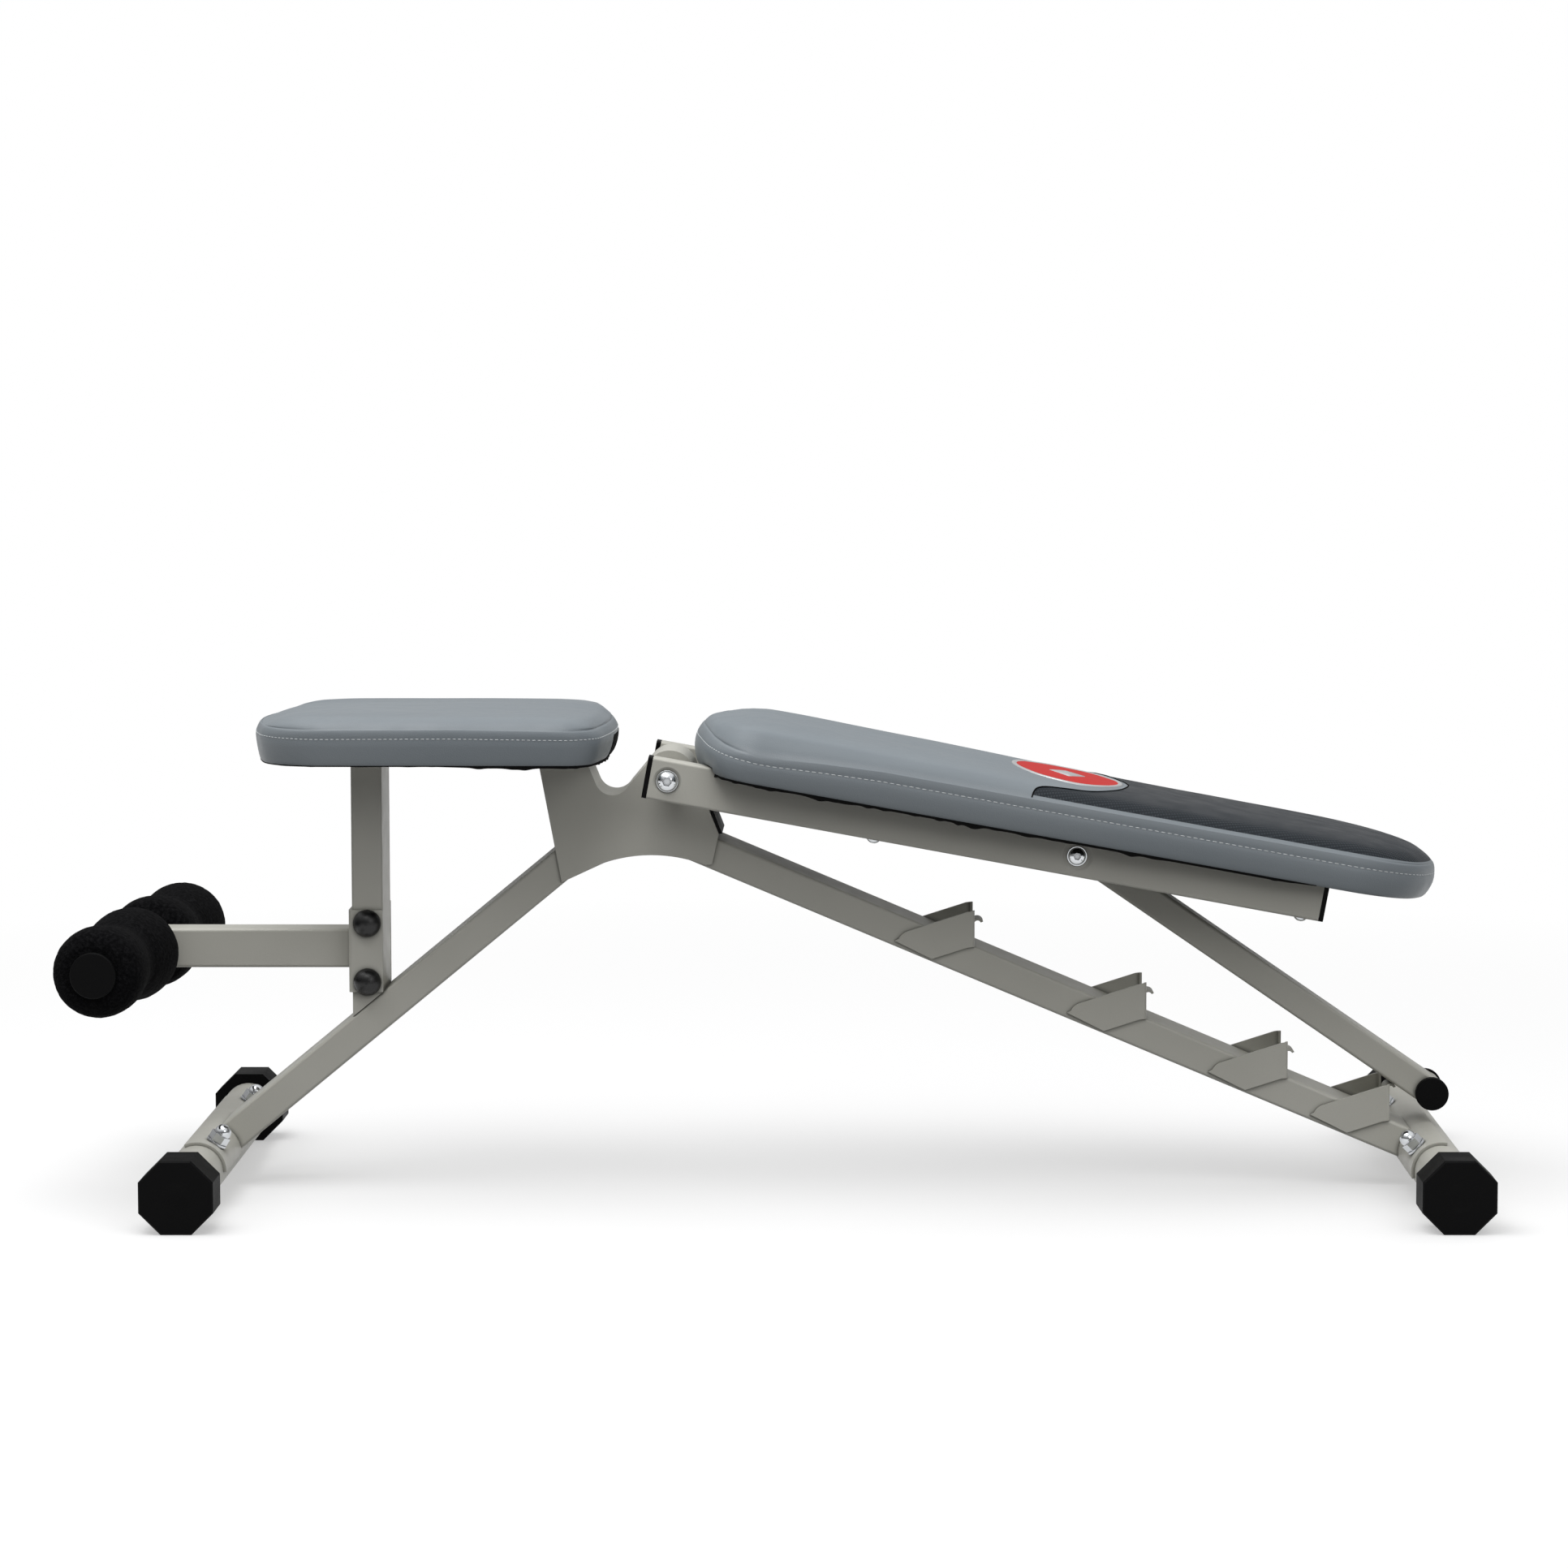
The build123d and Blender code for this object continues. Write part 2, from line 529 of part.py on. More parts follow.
seat_plan = pad_plan((SEAT_FRONT_X, SEAT_HALF, 31.0, 70.0), (SEAT_REAR_X, SEAT_HALF, 16.8, 40.0))
seat_deck = POST_TOP + SEAT_MOUNT_THICK
seat_pad, seat_board, seat_cloth = pad_solids(
    seat_plan, SEAT_LIP_Z, seat_deck + CLOTH_THICK, SEAT_TOP_Z, 9.0
)
seat_screws = []
for label, x_mid, x_half, screw_x in (("front", POST_X, 45.0, 32.0), ("rear", -213.0, 27.0, 14.0)):
    mount = block(x_mid - x_half, x_mid + x_half, -70, 70, POST_TOP, seat_deck)
    mount = fillet(mount.edges().filter_by(Axis.Z), 6.0)
    for dx in (-screw_x, screw_x):
        for y in (-58.0, 58.0):
            screw = button_bolt(3.0, POST_TOP, seat_deck + 10.0, 5.6, 3.2, 3.5)
            place = Pos(x_mid + dx, y, 0)
            hole = place * disc(3.0, 0, seat_deck + 10.0)
            mount = mount - hole
            seat_cloth = seat_cloth - hole
            seat_board = seat_board - hole
            seat_screws.append(place * screw)
    save(mount, f"seat_mount_{label}")
save(seat_pad, "seat_pad")
save(seat_board, "seat_board")
save(seat_cloth, "seat_dust_cloth")
save(Compound(children=seat_screws), "seat_screws")

back_plan = pad_plan((PAD_START, PAD_FOOT_HALF, 36.6, 45.0), (PAD_END, PAD_HEAD_HALF, 55.0, 88.0))
rail_top = RAIL_HEIGHT / 2
back_pad, back_board, back_cloth = pad_solids(
    back_plan, PAD_LIP_W, rail_top + CLOTH_THICK, PAD_TOP_W, 15.0
)
back_pad = back_pad - rod(LOBE_R + 0.6, -60, 60)
rail_mid = RAIL_OUTER_Y - RAIL_WIDTH / 2
for side in SIDES:
    back_pad = back_pad - block(-50, 900, side * rail_mid - 13, side * rail_mid + 13, -40, rail_top)

# ---------------------------------------------------------------- backrest
dimple_cut = [(PIVOT_BOLT_R, 0.0, 13.6), (STRUT_BOLT_R, STRUT_PIVOT_U, 15.2)]
pad_bolts = []
rail_plugs = []
for side, side_name in ((NEAR, "near"), (FAR, "far")):
    rail = Pos(0, side * rail_mid, 0) * beam_tube(
        RAIL_START, RAIL_END, RAIL_WIDTH, RAIL_HEIGHT, RAIL_WALL, 2.5
    )
    for bolt_r, u, dimple_r in dimple_cut:
        rail = rail - rod(bolt_r, -120, 120, u, 0)
        ring = Pos(u, side * RAIL_OUTER_Y, 0) * Rot(-90 * side, 0, 0)
        dimple = Cone(dimple_r - 2.6, dimple_r, DIMPLE_DEPTH)
        rail = rail - ring * Pos(0, 0, -DIMPLE_DEPTH / 2) * dimple
    for u in PAD_BOLT_U:
        place = Pos(u, side * rail_mid, 0)
        hole = place * disc(4.0, -30, rail_top + 10.0)
        rail = rail - hole
        back_board = back_board - hole
        back_cloth = back_cloth - hole
        pad_bolts.append(BACK * place * button_bolt(4.0, -rail_top, rail_top + 10.0, 7.0, 4.2, 5.0))
    for end_u, facing in ((RAIL_START, -1), (RAIL_END, 1)):
        flange = block(0, PLUG_FLANGE, -RAIL_WIDTH / 2, RAIL_WIDTH / 2, -rail_top, rail_top)
        flange = fillet(flange.edges().filter_by(Axis.X), 2.5)
        stem = beam(-8, 0, RAIL_WIDTH - 2 * RAIL_WALL, RAIL_HEIGHT - 2 * RAIL_WALL, 0.5)
        plug = flange + stem
        if facing < 0:
            plug = mirror(plug, about=Plane.YZ)
        rail_plugs.append(BACK * Pos(end_u, side * rail_mid, 0) * plug)
    save(BACK * rail, f"back_rail_{side_name}")
save(Compound(children=rail_plugs), "back_rail_plugs")
save(Compound(children=pad_bolts), "back_pad_bolts")
save(BACK * back_pad, "back_pad")
save(BACK * back_board, "back_board")
save(BACK * back_cloth, "back_dust_cloth")

badge = extrude(Pos(BADGE_U, 0, PAD_TOP_W) * Ellipse(BADGE_LENGTH / 2, BADGE_WIDTH / 2), amount=1.4)
save(BACK * fillet(badge.faces().sort_by(Axis.Z)[-1].edges(), 0.6), "back_badge")


def pivot_hardware(name, bolt_r, u, head_r, head_h, socket, nut_flats, washer_r):
    """Bolt through both rails with its head on the near side, and the washer and nut at the far side."""
    place = BACK * Pos(u, 0, 0)
    seat_y = RAIL_OUTER_Y - DIMPLE_DEPTH
    washer = 1.6
    bolt = across(button_bolt(bolt_r, -seat_y - washer, seat_y + washer + 9.0, head_r, head_h, socket))
    save(place * bolt, f"{name}_bolt")
    rings = [
        across(disc(washer_r, low, low + washer) - disc(bolt_r, low - 1, low + washer + 1))
        for low in (-seat_y - washer, seat_y)
    ]
    save(place * Compound(children=rings), f"{name}_washers")
    nut = across(lock_nut(nut_flats, bolt_r, seat_y + washer, 8.0))
    save(place * nut, f"{name}_nut")


pivot_hardware("backrest_pivot", PIVOT_BOLT_R, 0.0, 10.0, 6.5, 8.0, 18.0, 10.4)
pivot_hardware("strut_pivot", STRUT_BOLT_R, STRUT_PIVOT_U, 8.6, 5.5, 6.0, 16.0, 9.4)

# ---------------------------------------------------------------- strut
strut_tube = beam_tube(-8.0, STRUT_LENGTH - 4.0, STRUT_WIDTH, STRUT_HEIGHT, 2.0, 3.0)
strut_tube = strut_tube - rod(STRUT_SLEEVE_R, -60, 60) - rod(BAR_R, -60, 60, STRUT_LENGTH, 0)
save(STRUT * strut_tube.solids().sort_by(SortBy.VOLUME)[-1], "strut_tube")
sleeve_half = RAIL_OUTER_Y - RAIL_WIDTH - 0.4
save(STRUT * pipe(STRUT_SLEEVE_R, STRUT_BOLT_R + RUNNING_GAP, -sleeve_half, sleeve_half), "strut_sleeve")
save(STRUT * pipe(BAR_R, BAR_R - 2, -BAR_HALF, BAR_HALF, STRUT_LENGTH, 0), "strut_crossbar")
bar_caps = []
for side in SIDES:
    cap = disc(BAR_CAP_R, 25.3, BAR_CAP_HALF)
    cap = fillet(cap.edges().sort_by(Axis.Z)[-1], 1.2)
    cap = cap - disc(BAR_R, 20, BAR_HALF)
    bar_caps.append(STRUT * Pos(STRUT_LENGTH, 0, 0) * Rot(-90 * side, 0, 0) * cap)
save(Compound(children=bar_caps), "strut_bar_caps")
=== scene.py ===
"""Looks, light and camera for the decline sit-up bench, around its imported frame. Lengths are in metres
unless a name or a comment says millimetres."""
import json
import math
import random

import bmesh
import bpy
import numpy as np
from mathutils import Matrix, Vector, noise
from mathutils.bvhtree import BVHTree


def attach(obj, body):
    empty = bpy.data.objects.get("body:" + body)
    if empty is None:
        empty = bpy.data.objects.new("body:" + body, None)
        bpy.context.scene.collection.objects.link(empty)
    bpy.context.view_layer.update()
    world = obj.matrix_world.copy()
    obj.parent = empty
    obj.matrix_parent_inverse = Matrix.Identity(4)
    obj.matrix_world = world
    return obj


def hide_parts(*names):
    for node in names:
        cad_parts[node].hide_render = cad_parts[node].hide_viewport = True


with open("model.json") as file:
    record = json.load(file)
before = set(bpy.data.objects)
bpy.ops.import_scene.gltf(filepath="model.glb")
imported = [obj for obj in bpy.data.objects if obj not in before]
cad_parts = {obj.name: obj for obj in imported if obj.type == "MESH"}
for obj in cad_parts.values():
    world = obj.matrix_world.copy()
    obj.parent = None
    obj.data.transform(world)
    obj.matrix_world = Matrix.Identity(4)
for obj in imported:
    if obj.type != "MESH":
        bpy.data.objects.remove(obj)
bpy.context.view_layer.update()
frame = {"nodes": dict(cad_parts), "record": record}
nodes = frame["nodes"]
scene = bpy.context.scene
MM = 0.001

# ---------------------------------------------------------------- shared sizes, in millimetres
PIVOT = (-99.244, 402.8)
BACK_ANGLE = math.radians(10.4)
# Each end of a pad: its place along the pad, half width, bulge of the end's arc and fillet of the corners.
SEAT_FOOT = (-500.844, 143.0, 31.0, 70.0)
SEAT_HEAD = (-150.844, 143.0, 16.8, 40.0)
BACK_FOOT = (16.8, 147.0, 36.6, 45.0)
BACK_HEAD = (748.0, 126.0, 55.0, 88.0)
# X and Z of the middle of the roller bar, and how far the bar is out of square.
ROLLER = (-616.244, 230.5)
ROLLER_SKEW = math.radians(3.9)
# The rails' distance from the middle, and how far along the pad they reach its rim.
RAIL_Y = 90.5
RAIL_ZONE = 90.0
BADGE_CENTRE = 379.0
BADGE_HALF = (55.0, 84.0)
# The dark panel's edge: distance from the pad's middle line, and where the panel starts along the pad.
PANEL_EDGE = [
    (0, 440), (23, 437.3), (45, 433), (62, 428.6), (84, 418.5), (102, 405), (109, 395), (113, 382),
    (116, 369), (119, 357), (122.5, 348.5), (127, 344), (134, 342), (150, 341),
]
PANEL_WIDEST = 150.0
PANEL_LOW = 330.0
PANEL_SPAN = 120.0


# ---------------------------------------------------------------- materials
def add_node(tree, kind, inputs=None, **settings):
    """A new node of a tree, with its inputs linked or set."""
    made = tree.nodes.new(kind)
    for key, value in settings.items():
        setattr(made, key, value)
    for key, value in (inputs or {}).items():
        if isinstance(value, bpy.types.NodeSocket):
            tree.links.new(value, made.inputs[key])
        else:
            made.inputs[key].default_value = value
    return made


class Look:
    """A Principled material with short ways to add nodes to it."""

    def __init__(self, name, color, roughness, metallic=0.0, **values):
        self.material = bpy.data.materials.new(name)
        self.material.use_nodes = True
        self.tree = self.material.node_tree
        self.bsdf = self.tree.nodes["Principled BSDF"]
        self.set("Base Color", (*color, 1.0))
        self.set("Roughness", roughness)
        self.set("Metallic", metallic)
        for key, value in values.items():
            self.set(key.replace("_", " "), value)
        self.place = self.add("ShaderNodeTexCoord").outputs["Object"]

    def set(self, socket, value):
        self.bsdf.inputs[socket].default_value = value

    def add(self, kind, inputs=None, **settings):
        return add_node(self.tree, kind, inputs, **settings)

    def to(self, socket, source):
        self.tree.links.new(source, self.bsdf.inputs[socket])

    def noise(self, scale, detail=3.0, rough=0.5, place=None):
        inputs = {"Vector": place or self.place, "Scale": scale, "Detail": detail, "Roughness": rough}
        return self.add("ShaderNodeTexNoise", inputs).outputs["Fac"]

    def cells(self, scale, feature="F1"):
        inputs = {"Vector": self.place, "Scale": scale}
        return self.add("ShaderNodeTexVoronoi", inputs, feature=feature).outputs["Distance"]

    def math(self, operation, first, second=0.0):
        return self.add("ShaderNodeMath", {0: first, 1: second}, operation=operation).outputs[0]

    def span(self, value, low, high, to_low, to_high):
        inputs = {"Value": value, "From Min": low, "From Max": high, "To Min": to_low, "To Max": to_high}
        return self.add("ShaderNodeMapRange", inputs).outputs["Result"]

    def mix(self, share, first, second):
        made = self.add("ShaderNodeMix", data_type="RGBA")
        for index, value in ((0, share), (6, first), (7, second)):
            if isinstance(value, bpy.types.NodeSocket):
                self.tree.links.new(value, made.inputs[index])
            elif index:
                made.inputs[index].default_value = (*value, 1.0)
            else:
                made.inputs[index].default_value = value
        return made.outputs[2]

    def stretched(self, scale):
        return self.add("ShaderNodeMapping", {"Vector": self.place, "Scale": scale}).outputs["Vector"]

    def corners(self):
        """Ambient occlusion for painting shade: 1 on open faces, and less where faces meet."""
        return self.add("ShaderNodeAmbientOcclusion", {"Distance": 5 * MM}, samples=8).outputs["AO"]

    def soft_edges(self, radius):
        return self.add("ShaderNodeBevel", {"Radius": radius}, samples=4).outputs["Normal"]

    def bump(self, height, strength, distance, base=None):
        inputs = {"Height": height, "Strength": strength, "Distance": distance}
        if base is not None:
            inputs["Normal"] = base
        return self.add("ShaderNodeBump", inputs).outputs["Normal"]


def paint_look():
    """Satin powder coat over steel: fine orange peel, slow colour drift, softened edges and painted shade
    where faces meet.
    """
    look = Look("frame_paint", (0.5, 0.5, 0.45), 0.42, IOR=1.45)
    drift = look.noise(6.0, 2.0)
    color = look.mix(look.span(drift, 0.3, 0.7, 0.0, 1.0), (0.470, 0.464, 0.415), (0.532, 0.525, 0.475))
    speck = look.span(look.noise(900.0, 2.0), 0.62, 0.74, 0.0, 0.16)
    color = look.mix(speck, color, (0.33, 0.325, 0.29))
    # Painted shade: the paint's colour darkens towards near black where faces meet.
    shade = look.span(look.corners(), 0.45, 0.95, 0.7, 0.0)
    look.to("Base Color", look.mix(shade, color, (0.10, 0.10, 0.085)))
    look.to("Roughness", look.span(look.noise(60.0, 4.0), 0.2, 0.8, 0.34, 0.5))
    look.to("Normal", look.bump(look.noise(520.0, 3.0), 0.16, 0.0004, look.soft_edges(0.9 * MM)))
    return look.material


def chrome_look():
    """Bright plating with faint turning marks, and painted shade that darkens it where faces meet."""
    look = Look("chrome", (0.80, 0.81, 0.82), 0.12, metallic=1.0)
    # Painted shade: the plating's colour goes to near black where faces meet.
    shade = look.span(look.corners(), 0.25, 0.9, 0.92, 0.0)
    look.to("Base Color", look.mix(shade, (0.66, 0.68, 0.70), (0.02, 0.02, 0.022)))
    marks = look.noise(1500.0, 2.0, place=look.stretched((1.0, 0.15, 1.0)))
    look.to("Roughness", look.span(marks, 0.3, 0.7, 0.08, 0.22))
    look.to("Normal", look.bump(marks, 0.05, 0.0002, look.soft_edges(0.5 * MM)))
    return look.material


def plastic_look(name, level, smoothest, roughest):
    """Black moulded plastic with a fine spark-eroded texture."""
    look = Look(name, (0.006, 0.006, 0.006), 0.6, IOR=1.46, Specular_IOR_Level=level)
    grain = look.noise(1400.0, 3.0, 0.6)
    wear = look.noise(25.0, 4.0)
    worn = look.span(wear, 0.45, 0.75, 0.0, 0.5)
    look.to("Base Color", look.mix(worn, (0.002, 0.002, 0.0022), (0.005, 0.005, 0.005)))
    look.to("Roughness", look.span(wear, 0.3, 0.7, smoothest, roughest))
    look.to("Normal", look.bump(grain, 0.35, 0.0004, look.soft_edges(1.0 * MM)))
    return look.material


def foam_look():
    """Black closed-cell foam with an open, grainy skin."""
    look = Look("black_foam", (0.005, 0.005, 0.005), 1.0, IOR=1.35, Specular_IOR_Level=0.12)
    pores = look.cells(420.0)
    grain = look.noise(300.0, 4.0, 0.65)
    color = look.mix(look.span(grain, 0.45, 0.75, 0.0, 1.0), (0.0022, 0.0022, 0.0026), (0.012, 0.012, 0.013))
    look.to("Base Color", color)
    rough = look.bump(grain, 0.9, 0.0012)
    look.to("Normal", look.bump(pores, 0.8, 0.0008, rough))
    return look.material


PEBBLES = 1050.0


def grain_normal(look):
    """Leather-grain bump for vinyl."""
    creases = look.bump(look.cells(PEBBLES, "SMOOTH_F1"), 0.22, 0.0004)
    return look.bump(look.noise(120.0, 3.0), 0.10, 0.0006, creases)


def vinyl_color(look, darker, lighter):
    """Slow colour drift along a pad, with painted shade in the pits between the pebbles of the grain."""
    drift = look.noise(9.0, 3.0, place=look.stretched((0.4, 1.0, 1.0)))
    color = look.mix(look.span(drift, 0.3, 0.7, 0.0, 1.0), darker, lighter)
    # Painted shade: the colour darkens in the pits of the grain.
    painted_pit_shade = look.span(look.cells(PEBBLES), 0.0, 0.25, 0.35, 0.0)
    return look.mix(painted_pit_shade, color, (0.12, 0.14, 0.155))


def vinyl_wear(look):
    return look.span(look.noise(40.0, 3.0), 0.3, 0.7, 0.40, 0.52)


def vinyl_look():
    """Blue-grey grained vinyl."""
    look = Look("vinyl", (0.19, 0.22, 0.245), 0.46, IOR=1.45)
    look.to("Base Color", vinyl_color(look, (0.184, 0.211, 0.233), (0.212, 0.238, 0.258)))
    look.to("Roughness", vinyl_wear(look))
    look.to("Normal", grain_normal(look))
    return look.material


def panel_share(look, along, side):
    """1 on the dark head panel and 0 on the vinyl, from pad coordinates in metres, and the edge's curve."""
    curve = look.add("ShaderNodeFloatCurve")
    mapping = curve.mapping
    points = mapping.curves[0].points
    wanted = [(y / PANEL_WIDEST, (u - PANEL_LOW) / PANEL_SPAN) for y, u in PANEL_EDGE]
    while len(points) < len(wanted):
        points.new(0.5, 0.5)
    for point, (x, value) in zip(points, wanted):
        point.location = (x, value)
        point.handle_type = "AUTO_CLAMPED"
    mapping.update()
    distance = look.math("DIVIDE", look.math("ABSOLUTE", side), PANEL_WIDEST * MM)
    look.tree.links.new(distance, curve.inputs["Value"])
    start = look.math("ADD", look.math("MULTIPLY", curve.outputs["Value"], PANEL_SPAN * MM), PANEL_LOW * MM)
    return look.span(look.math("SUBTRACT", along, start), -0.3 * MM, 0.3 * MM, 0.0, 1.0), mapping


def top_look():
    """The backrest's top: grey vinyl painted a little lighter than the sides as painted light, and a dark
    panel with a fine diagonal weave towards the head.
    """
    look = Look("vinyl_top", (0.19, 0.22, 0.245), 0.46, IOR=1.45, Specular_IOR_Level=0.3)
    layout = look.add("ShaderNodeUVMap", uv_map="pad").outputs["UV"]
    parts = look.add("ShaderNodeSeparateXYZ", {"Vector": layout})
    along, side = parts.outputs["X"], parts.outputs["Y"]
    share, mapping = panel_share(look, along, side)
    # Painted light: the same vinyl as the sides, painted a little lighter on the top.
    grey = vinyl_color(look, (0.194, 0.223, 0.246), (0.223, 0.251, 0.272))
    cross = look.math("ADD", along, look.math("MULTIPLY", side, 0.55))
    lean = look.math("SUBTRACT", side, look.math("MULTIPLY", along, 0.30))
    threads = 2 * math.pi / (3.0 * MM)
    ribs = look.math("ADD", look.math("SINE", look.math("MULTIPLY", cross, threads)), 1.0)
    knots = look.math("ADD", look.math("SINE", look.math("MULTIPLY", lean, threads)), 1.0)
    weave = look.span(look.math("MULTIPLY", ribs, knots), 0.0, 4.0, 0.0, 1.0)
    dark = look.mix(weave, (0.0045, 0.0085, 0.0135), (0.017, 0.026, 0.035))
    look.to("Base Color", look.mix(share, grey, dark))
    look.to("Roughness", look.math("SUBTRACT", vinyl_wear(look), look.math("MULTIPLY", share, 0.06)))
    grain = grain_normal(look)
    woven = look.bump(weave, 0.55, 0.0006)
    normal = look.add("ShaderNodeMix", data_type="VECTOR")
    for index, value in ((0, share), (4, grain), (5, woven)):
        look.tree.links.new(value, normal.inputs[index])
    look.to("Normal", normal.outputs[1])
    return look.material, mapping


def thread_look():
    """Pale twisted thread."""
    look = Look("stitch_thread", (0.60, 0.63, 0.64), 0.7)
    twist = look.noise(2500.0, 1.0)
    look.to("Base Color", look.mix(twist, (0.50, 0.53, 0.545), (0.72, 0.75, 0.76)))
    look.to("Normal", look.bump(twist, 0.5, 0.0003))
    return look.material


def cloth_look():
    """Thin black dust cloth."""
    look = Look("dust_cloth", (0.003, 0.003, 0.003), 0.95, Specular_IOR_Level=0.1)
    fibres = look.noise(1800.0, 4.0, 0.7)
    look.to("Base Color", look.mix(fibres, (0.0012, 0.0012, 0.0012), (0.005, 0.005, 0.005)))
    look.to("Normal", look.bump(fibres, 0.5, 0.0004))
    return look.material


def wood_look():
    """Bare plywood with long grain and ply lines."""
    look = Look("plywood", (0.5, 0.38, 0.24), 0.7)
    grain = look.noise(45.0, 6.0, 0.65, place=look.stretched((0.15, 1.0, 1.0)))
    height = look.add("ShaderNodeSeparateXYZ", {"Vector": look.place}).outputs["Z"]
    plies = look.math("SINE", look.math("MULTIPLY", height, 2600.0))
    warm = look.mix(grain, (0.36, 0.25, 0.14), (0.60, 0.47, 0.31))
    look.to("Base Color", look.mix(look.span(plies, 0.4, 1.0, 0.0, 0.35), warm, (0.25, 0.16, 0.09)))
    look.to("Normal", look.bump(grain, 0.3, 0.0006))
    return look.material


def badge_looks():
    """Red enamel, and the brushed silver of its rim and lozenge."""
    red = Look("badge_red", (0.50, 0.014, 0.014), 0.5, Specular_IOR_Level=0.12)
    mottle = red.noise(300.0, 3.0)
    red.to("Base Color", red.mix(mottle, (0.47, 0.012, 0.010), (0.56, 0.020, 0.016)))
    red.to("Normal", red.bump(red.noise(700.0, 2.0), 0.08, 0.0003))
    silver = Look("badge_silver", (0.60, 0.61, 0.62), 0.35, metallic=0.55)
    brushed = silver.noise(1400.0, 2.0, place=silver.stretched((1.0, 0.1, 1.0)))
    silver.to("Roughness", silver.span(brushed, 0.3, 0.7, 0.28, 0.45))
    silver.to("Normal", silver.bump(brushed, 0.15, 0.0002))
    return red.material, silver.material


paint = paint_look()
chrome = chrome_look()
plastic = plastic_look("black_plastic", 0.09, 0.48, 0.64)
shiny_plastic = plastic_look("shiny_black_plastic", 0.5, 0.2, 0.32)
foam = foam_look()
vinyl = vinyl_look()
vinyl_top, panel_mapping = top_look()
thread = thread_look()
cloth = cloth_look()
wood = wood_look()
badge_red, badge_silver = badge_looks()

SLOT_LOOKS = {
    "frame_paint": paint, "chrome": chrome, "black_plastic": plastic, "black_foam": foam, "vinyl": vinyl,
    "plywood": wood, "dust_cloth": cloth, "badge_plastic": badge_red,
}
for part in frame["record"]["subparts"]:
    piece = nodes[part["node"]]
    piece.data.materials.clear()
    piece.data.materials.append(SLOT_LOOKS[part["material_slot"]])
nodes["roller_arm_bolt_covers"].data.materials[0] = shiny_plastic


# ---------------------------------------------------------------- pad geometry, in millimetres
def to_back(u, y, w):
    """Places along, across and above the backrest, in millimetres, as scene coordinates in metres."""
    x = PIVOT[0] + u * math.cos(BACK_ANGLE) + w * math.sin(BACK_ANGLE)
    z = PIVOT[1] - u * math.sin(BACK_ANGLE) + w * math.cos(BACK_ANGLE)
    return np.stack(np.broadcast_arrays(x, y, z), axis=-1) * MM


def to_seat(u, y, w):
    """The same for the seat, which lies level."""
    return np.stack(np.broadcast_arrays(u, y, w), axis=-1) * MM


def arc_points(centre, start, end, count=60):
    """Points on the short arc about a centre."""
    first = math.atan2(start[1] - centre[1], start[0] - centre[0])
    turn = math.atan2(end[1] - centre[1], end[0] - centre[0]) - first
    turn = (turn + math.pi) % (2 * math.pi) - math.pi
    radius = math.dist(centre, start)
    angles = first + turn * np.linspace(0, 1, count)
    return np.stack([centre[0] + radius * np.cos(angles), centre[1] + radius * np.sin(angles)], axis=1)


def pad_corner(end, other, sense):
    """Arc centres and touching points of one end: the end arc, its fillet and the straight side."""
    x, half, bulge, fillet = end
    radius = (half * half + bulge * bulge) / (2 * bulge)
    centre = np.array([x - sense * radius, 0.0])
    corner = np.array([x - sense * bulge, half])
    far = np.array([other[0] + sense * other[2], other[1]])
    along = sense * (corner - far) / np.linalg.norm(corner - far)
    inward = np.array([along[1], -along[0]])
    start = corner + inward * fillet - centre
    middle = start @ along
    reach = math.sqrt(middle * middle - start @ start + (radius - fillet) ** 2)
    hub = corner + inward * fillet + along * (sense * reach - middle)
    on_side = hub - inward * fillet
    on_arc = centre + (hub - centre) / np.linalg.norm(hub - centre) * radius
    return centre, hub, on_side, on_arc


def pad_outline(foot, head, count):
    """Evenly spaced closed outline, anticlockwise from the head, and its inward normals."""
    head_centre, head_hub, head_side, head_arc = pad_corner(head, foot, 1)
    foot_centre, foot_hub, foot_side, foot_arc = pad_corner(foot, head, -1)
    half = np.concatenate([
        arc_points(head_centre, (head[0], 0.0), head_arc), arc_points(head_hub, head_arc, head_side),
        arc_points(foot_hub, foot_side, foot_arc), arc_points(foot_centre, foot_arc, (foot[0], 0.0)),
    ])
    steps = np.concatenate([[0], np.cumsum(np.linalg.norm(np.diff(half, axis=0), axis=1))])
    wanted = np.linspace(0, steps[-1], count // 2 + 1)
    half = np.stack([np.interp(wanted, steps, half[:, axis]) for axis in (0, 1)], axis=1)
    loop = np.concatenate([half, half[-2:0:-1] * (1, -1)])
    ahead = np.roll(loop, -1, axis=0) - np.roll(loop, 1, axis=0)
    normal = np.stack([-ahead[:, 1], ahead[:, 0]], axis=1)
    return loop, normal / np.linalg.norm(normal, axis=1, keepdims=True)


POCKET_RINGS = 2
# The stitches run along this row of a pad's side.
STITCH_ROW = 13
STITCH_RING = POCKET_RINGS + STITCH_ROW
# The crown follows the outline up to this inset, and closes on the middle line from there.
SHOULDER_INSET = 16.0


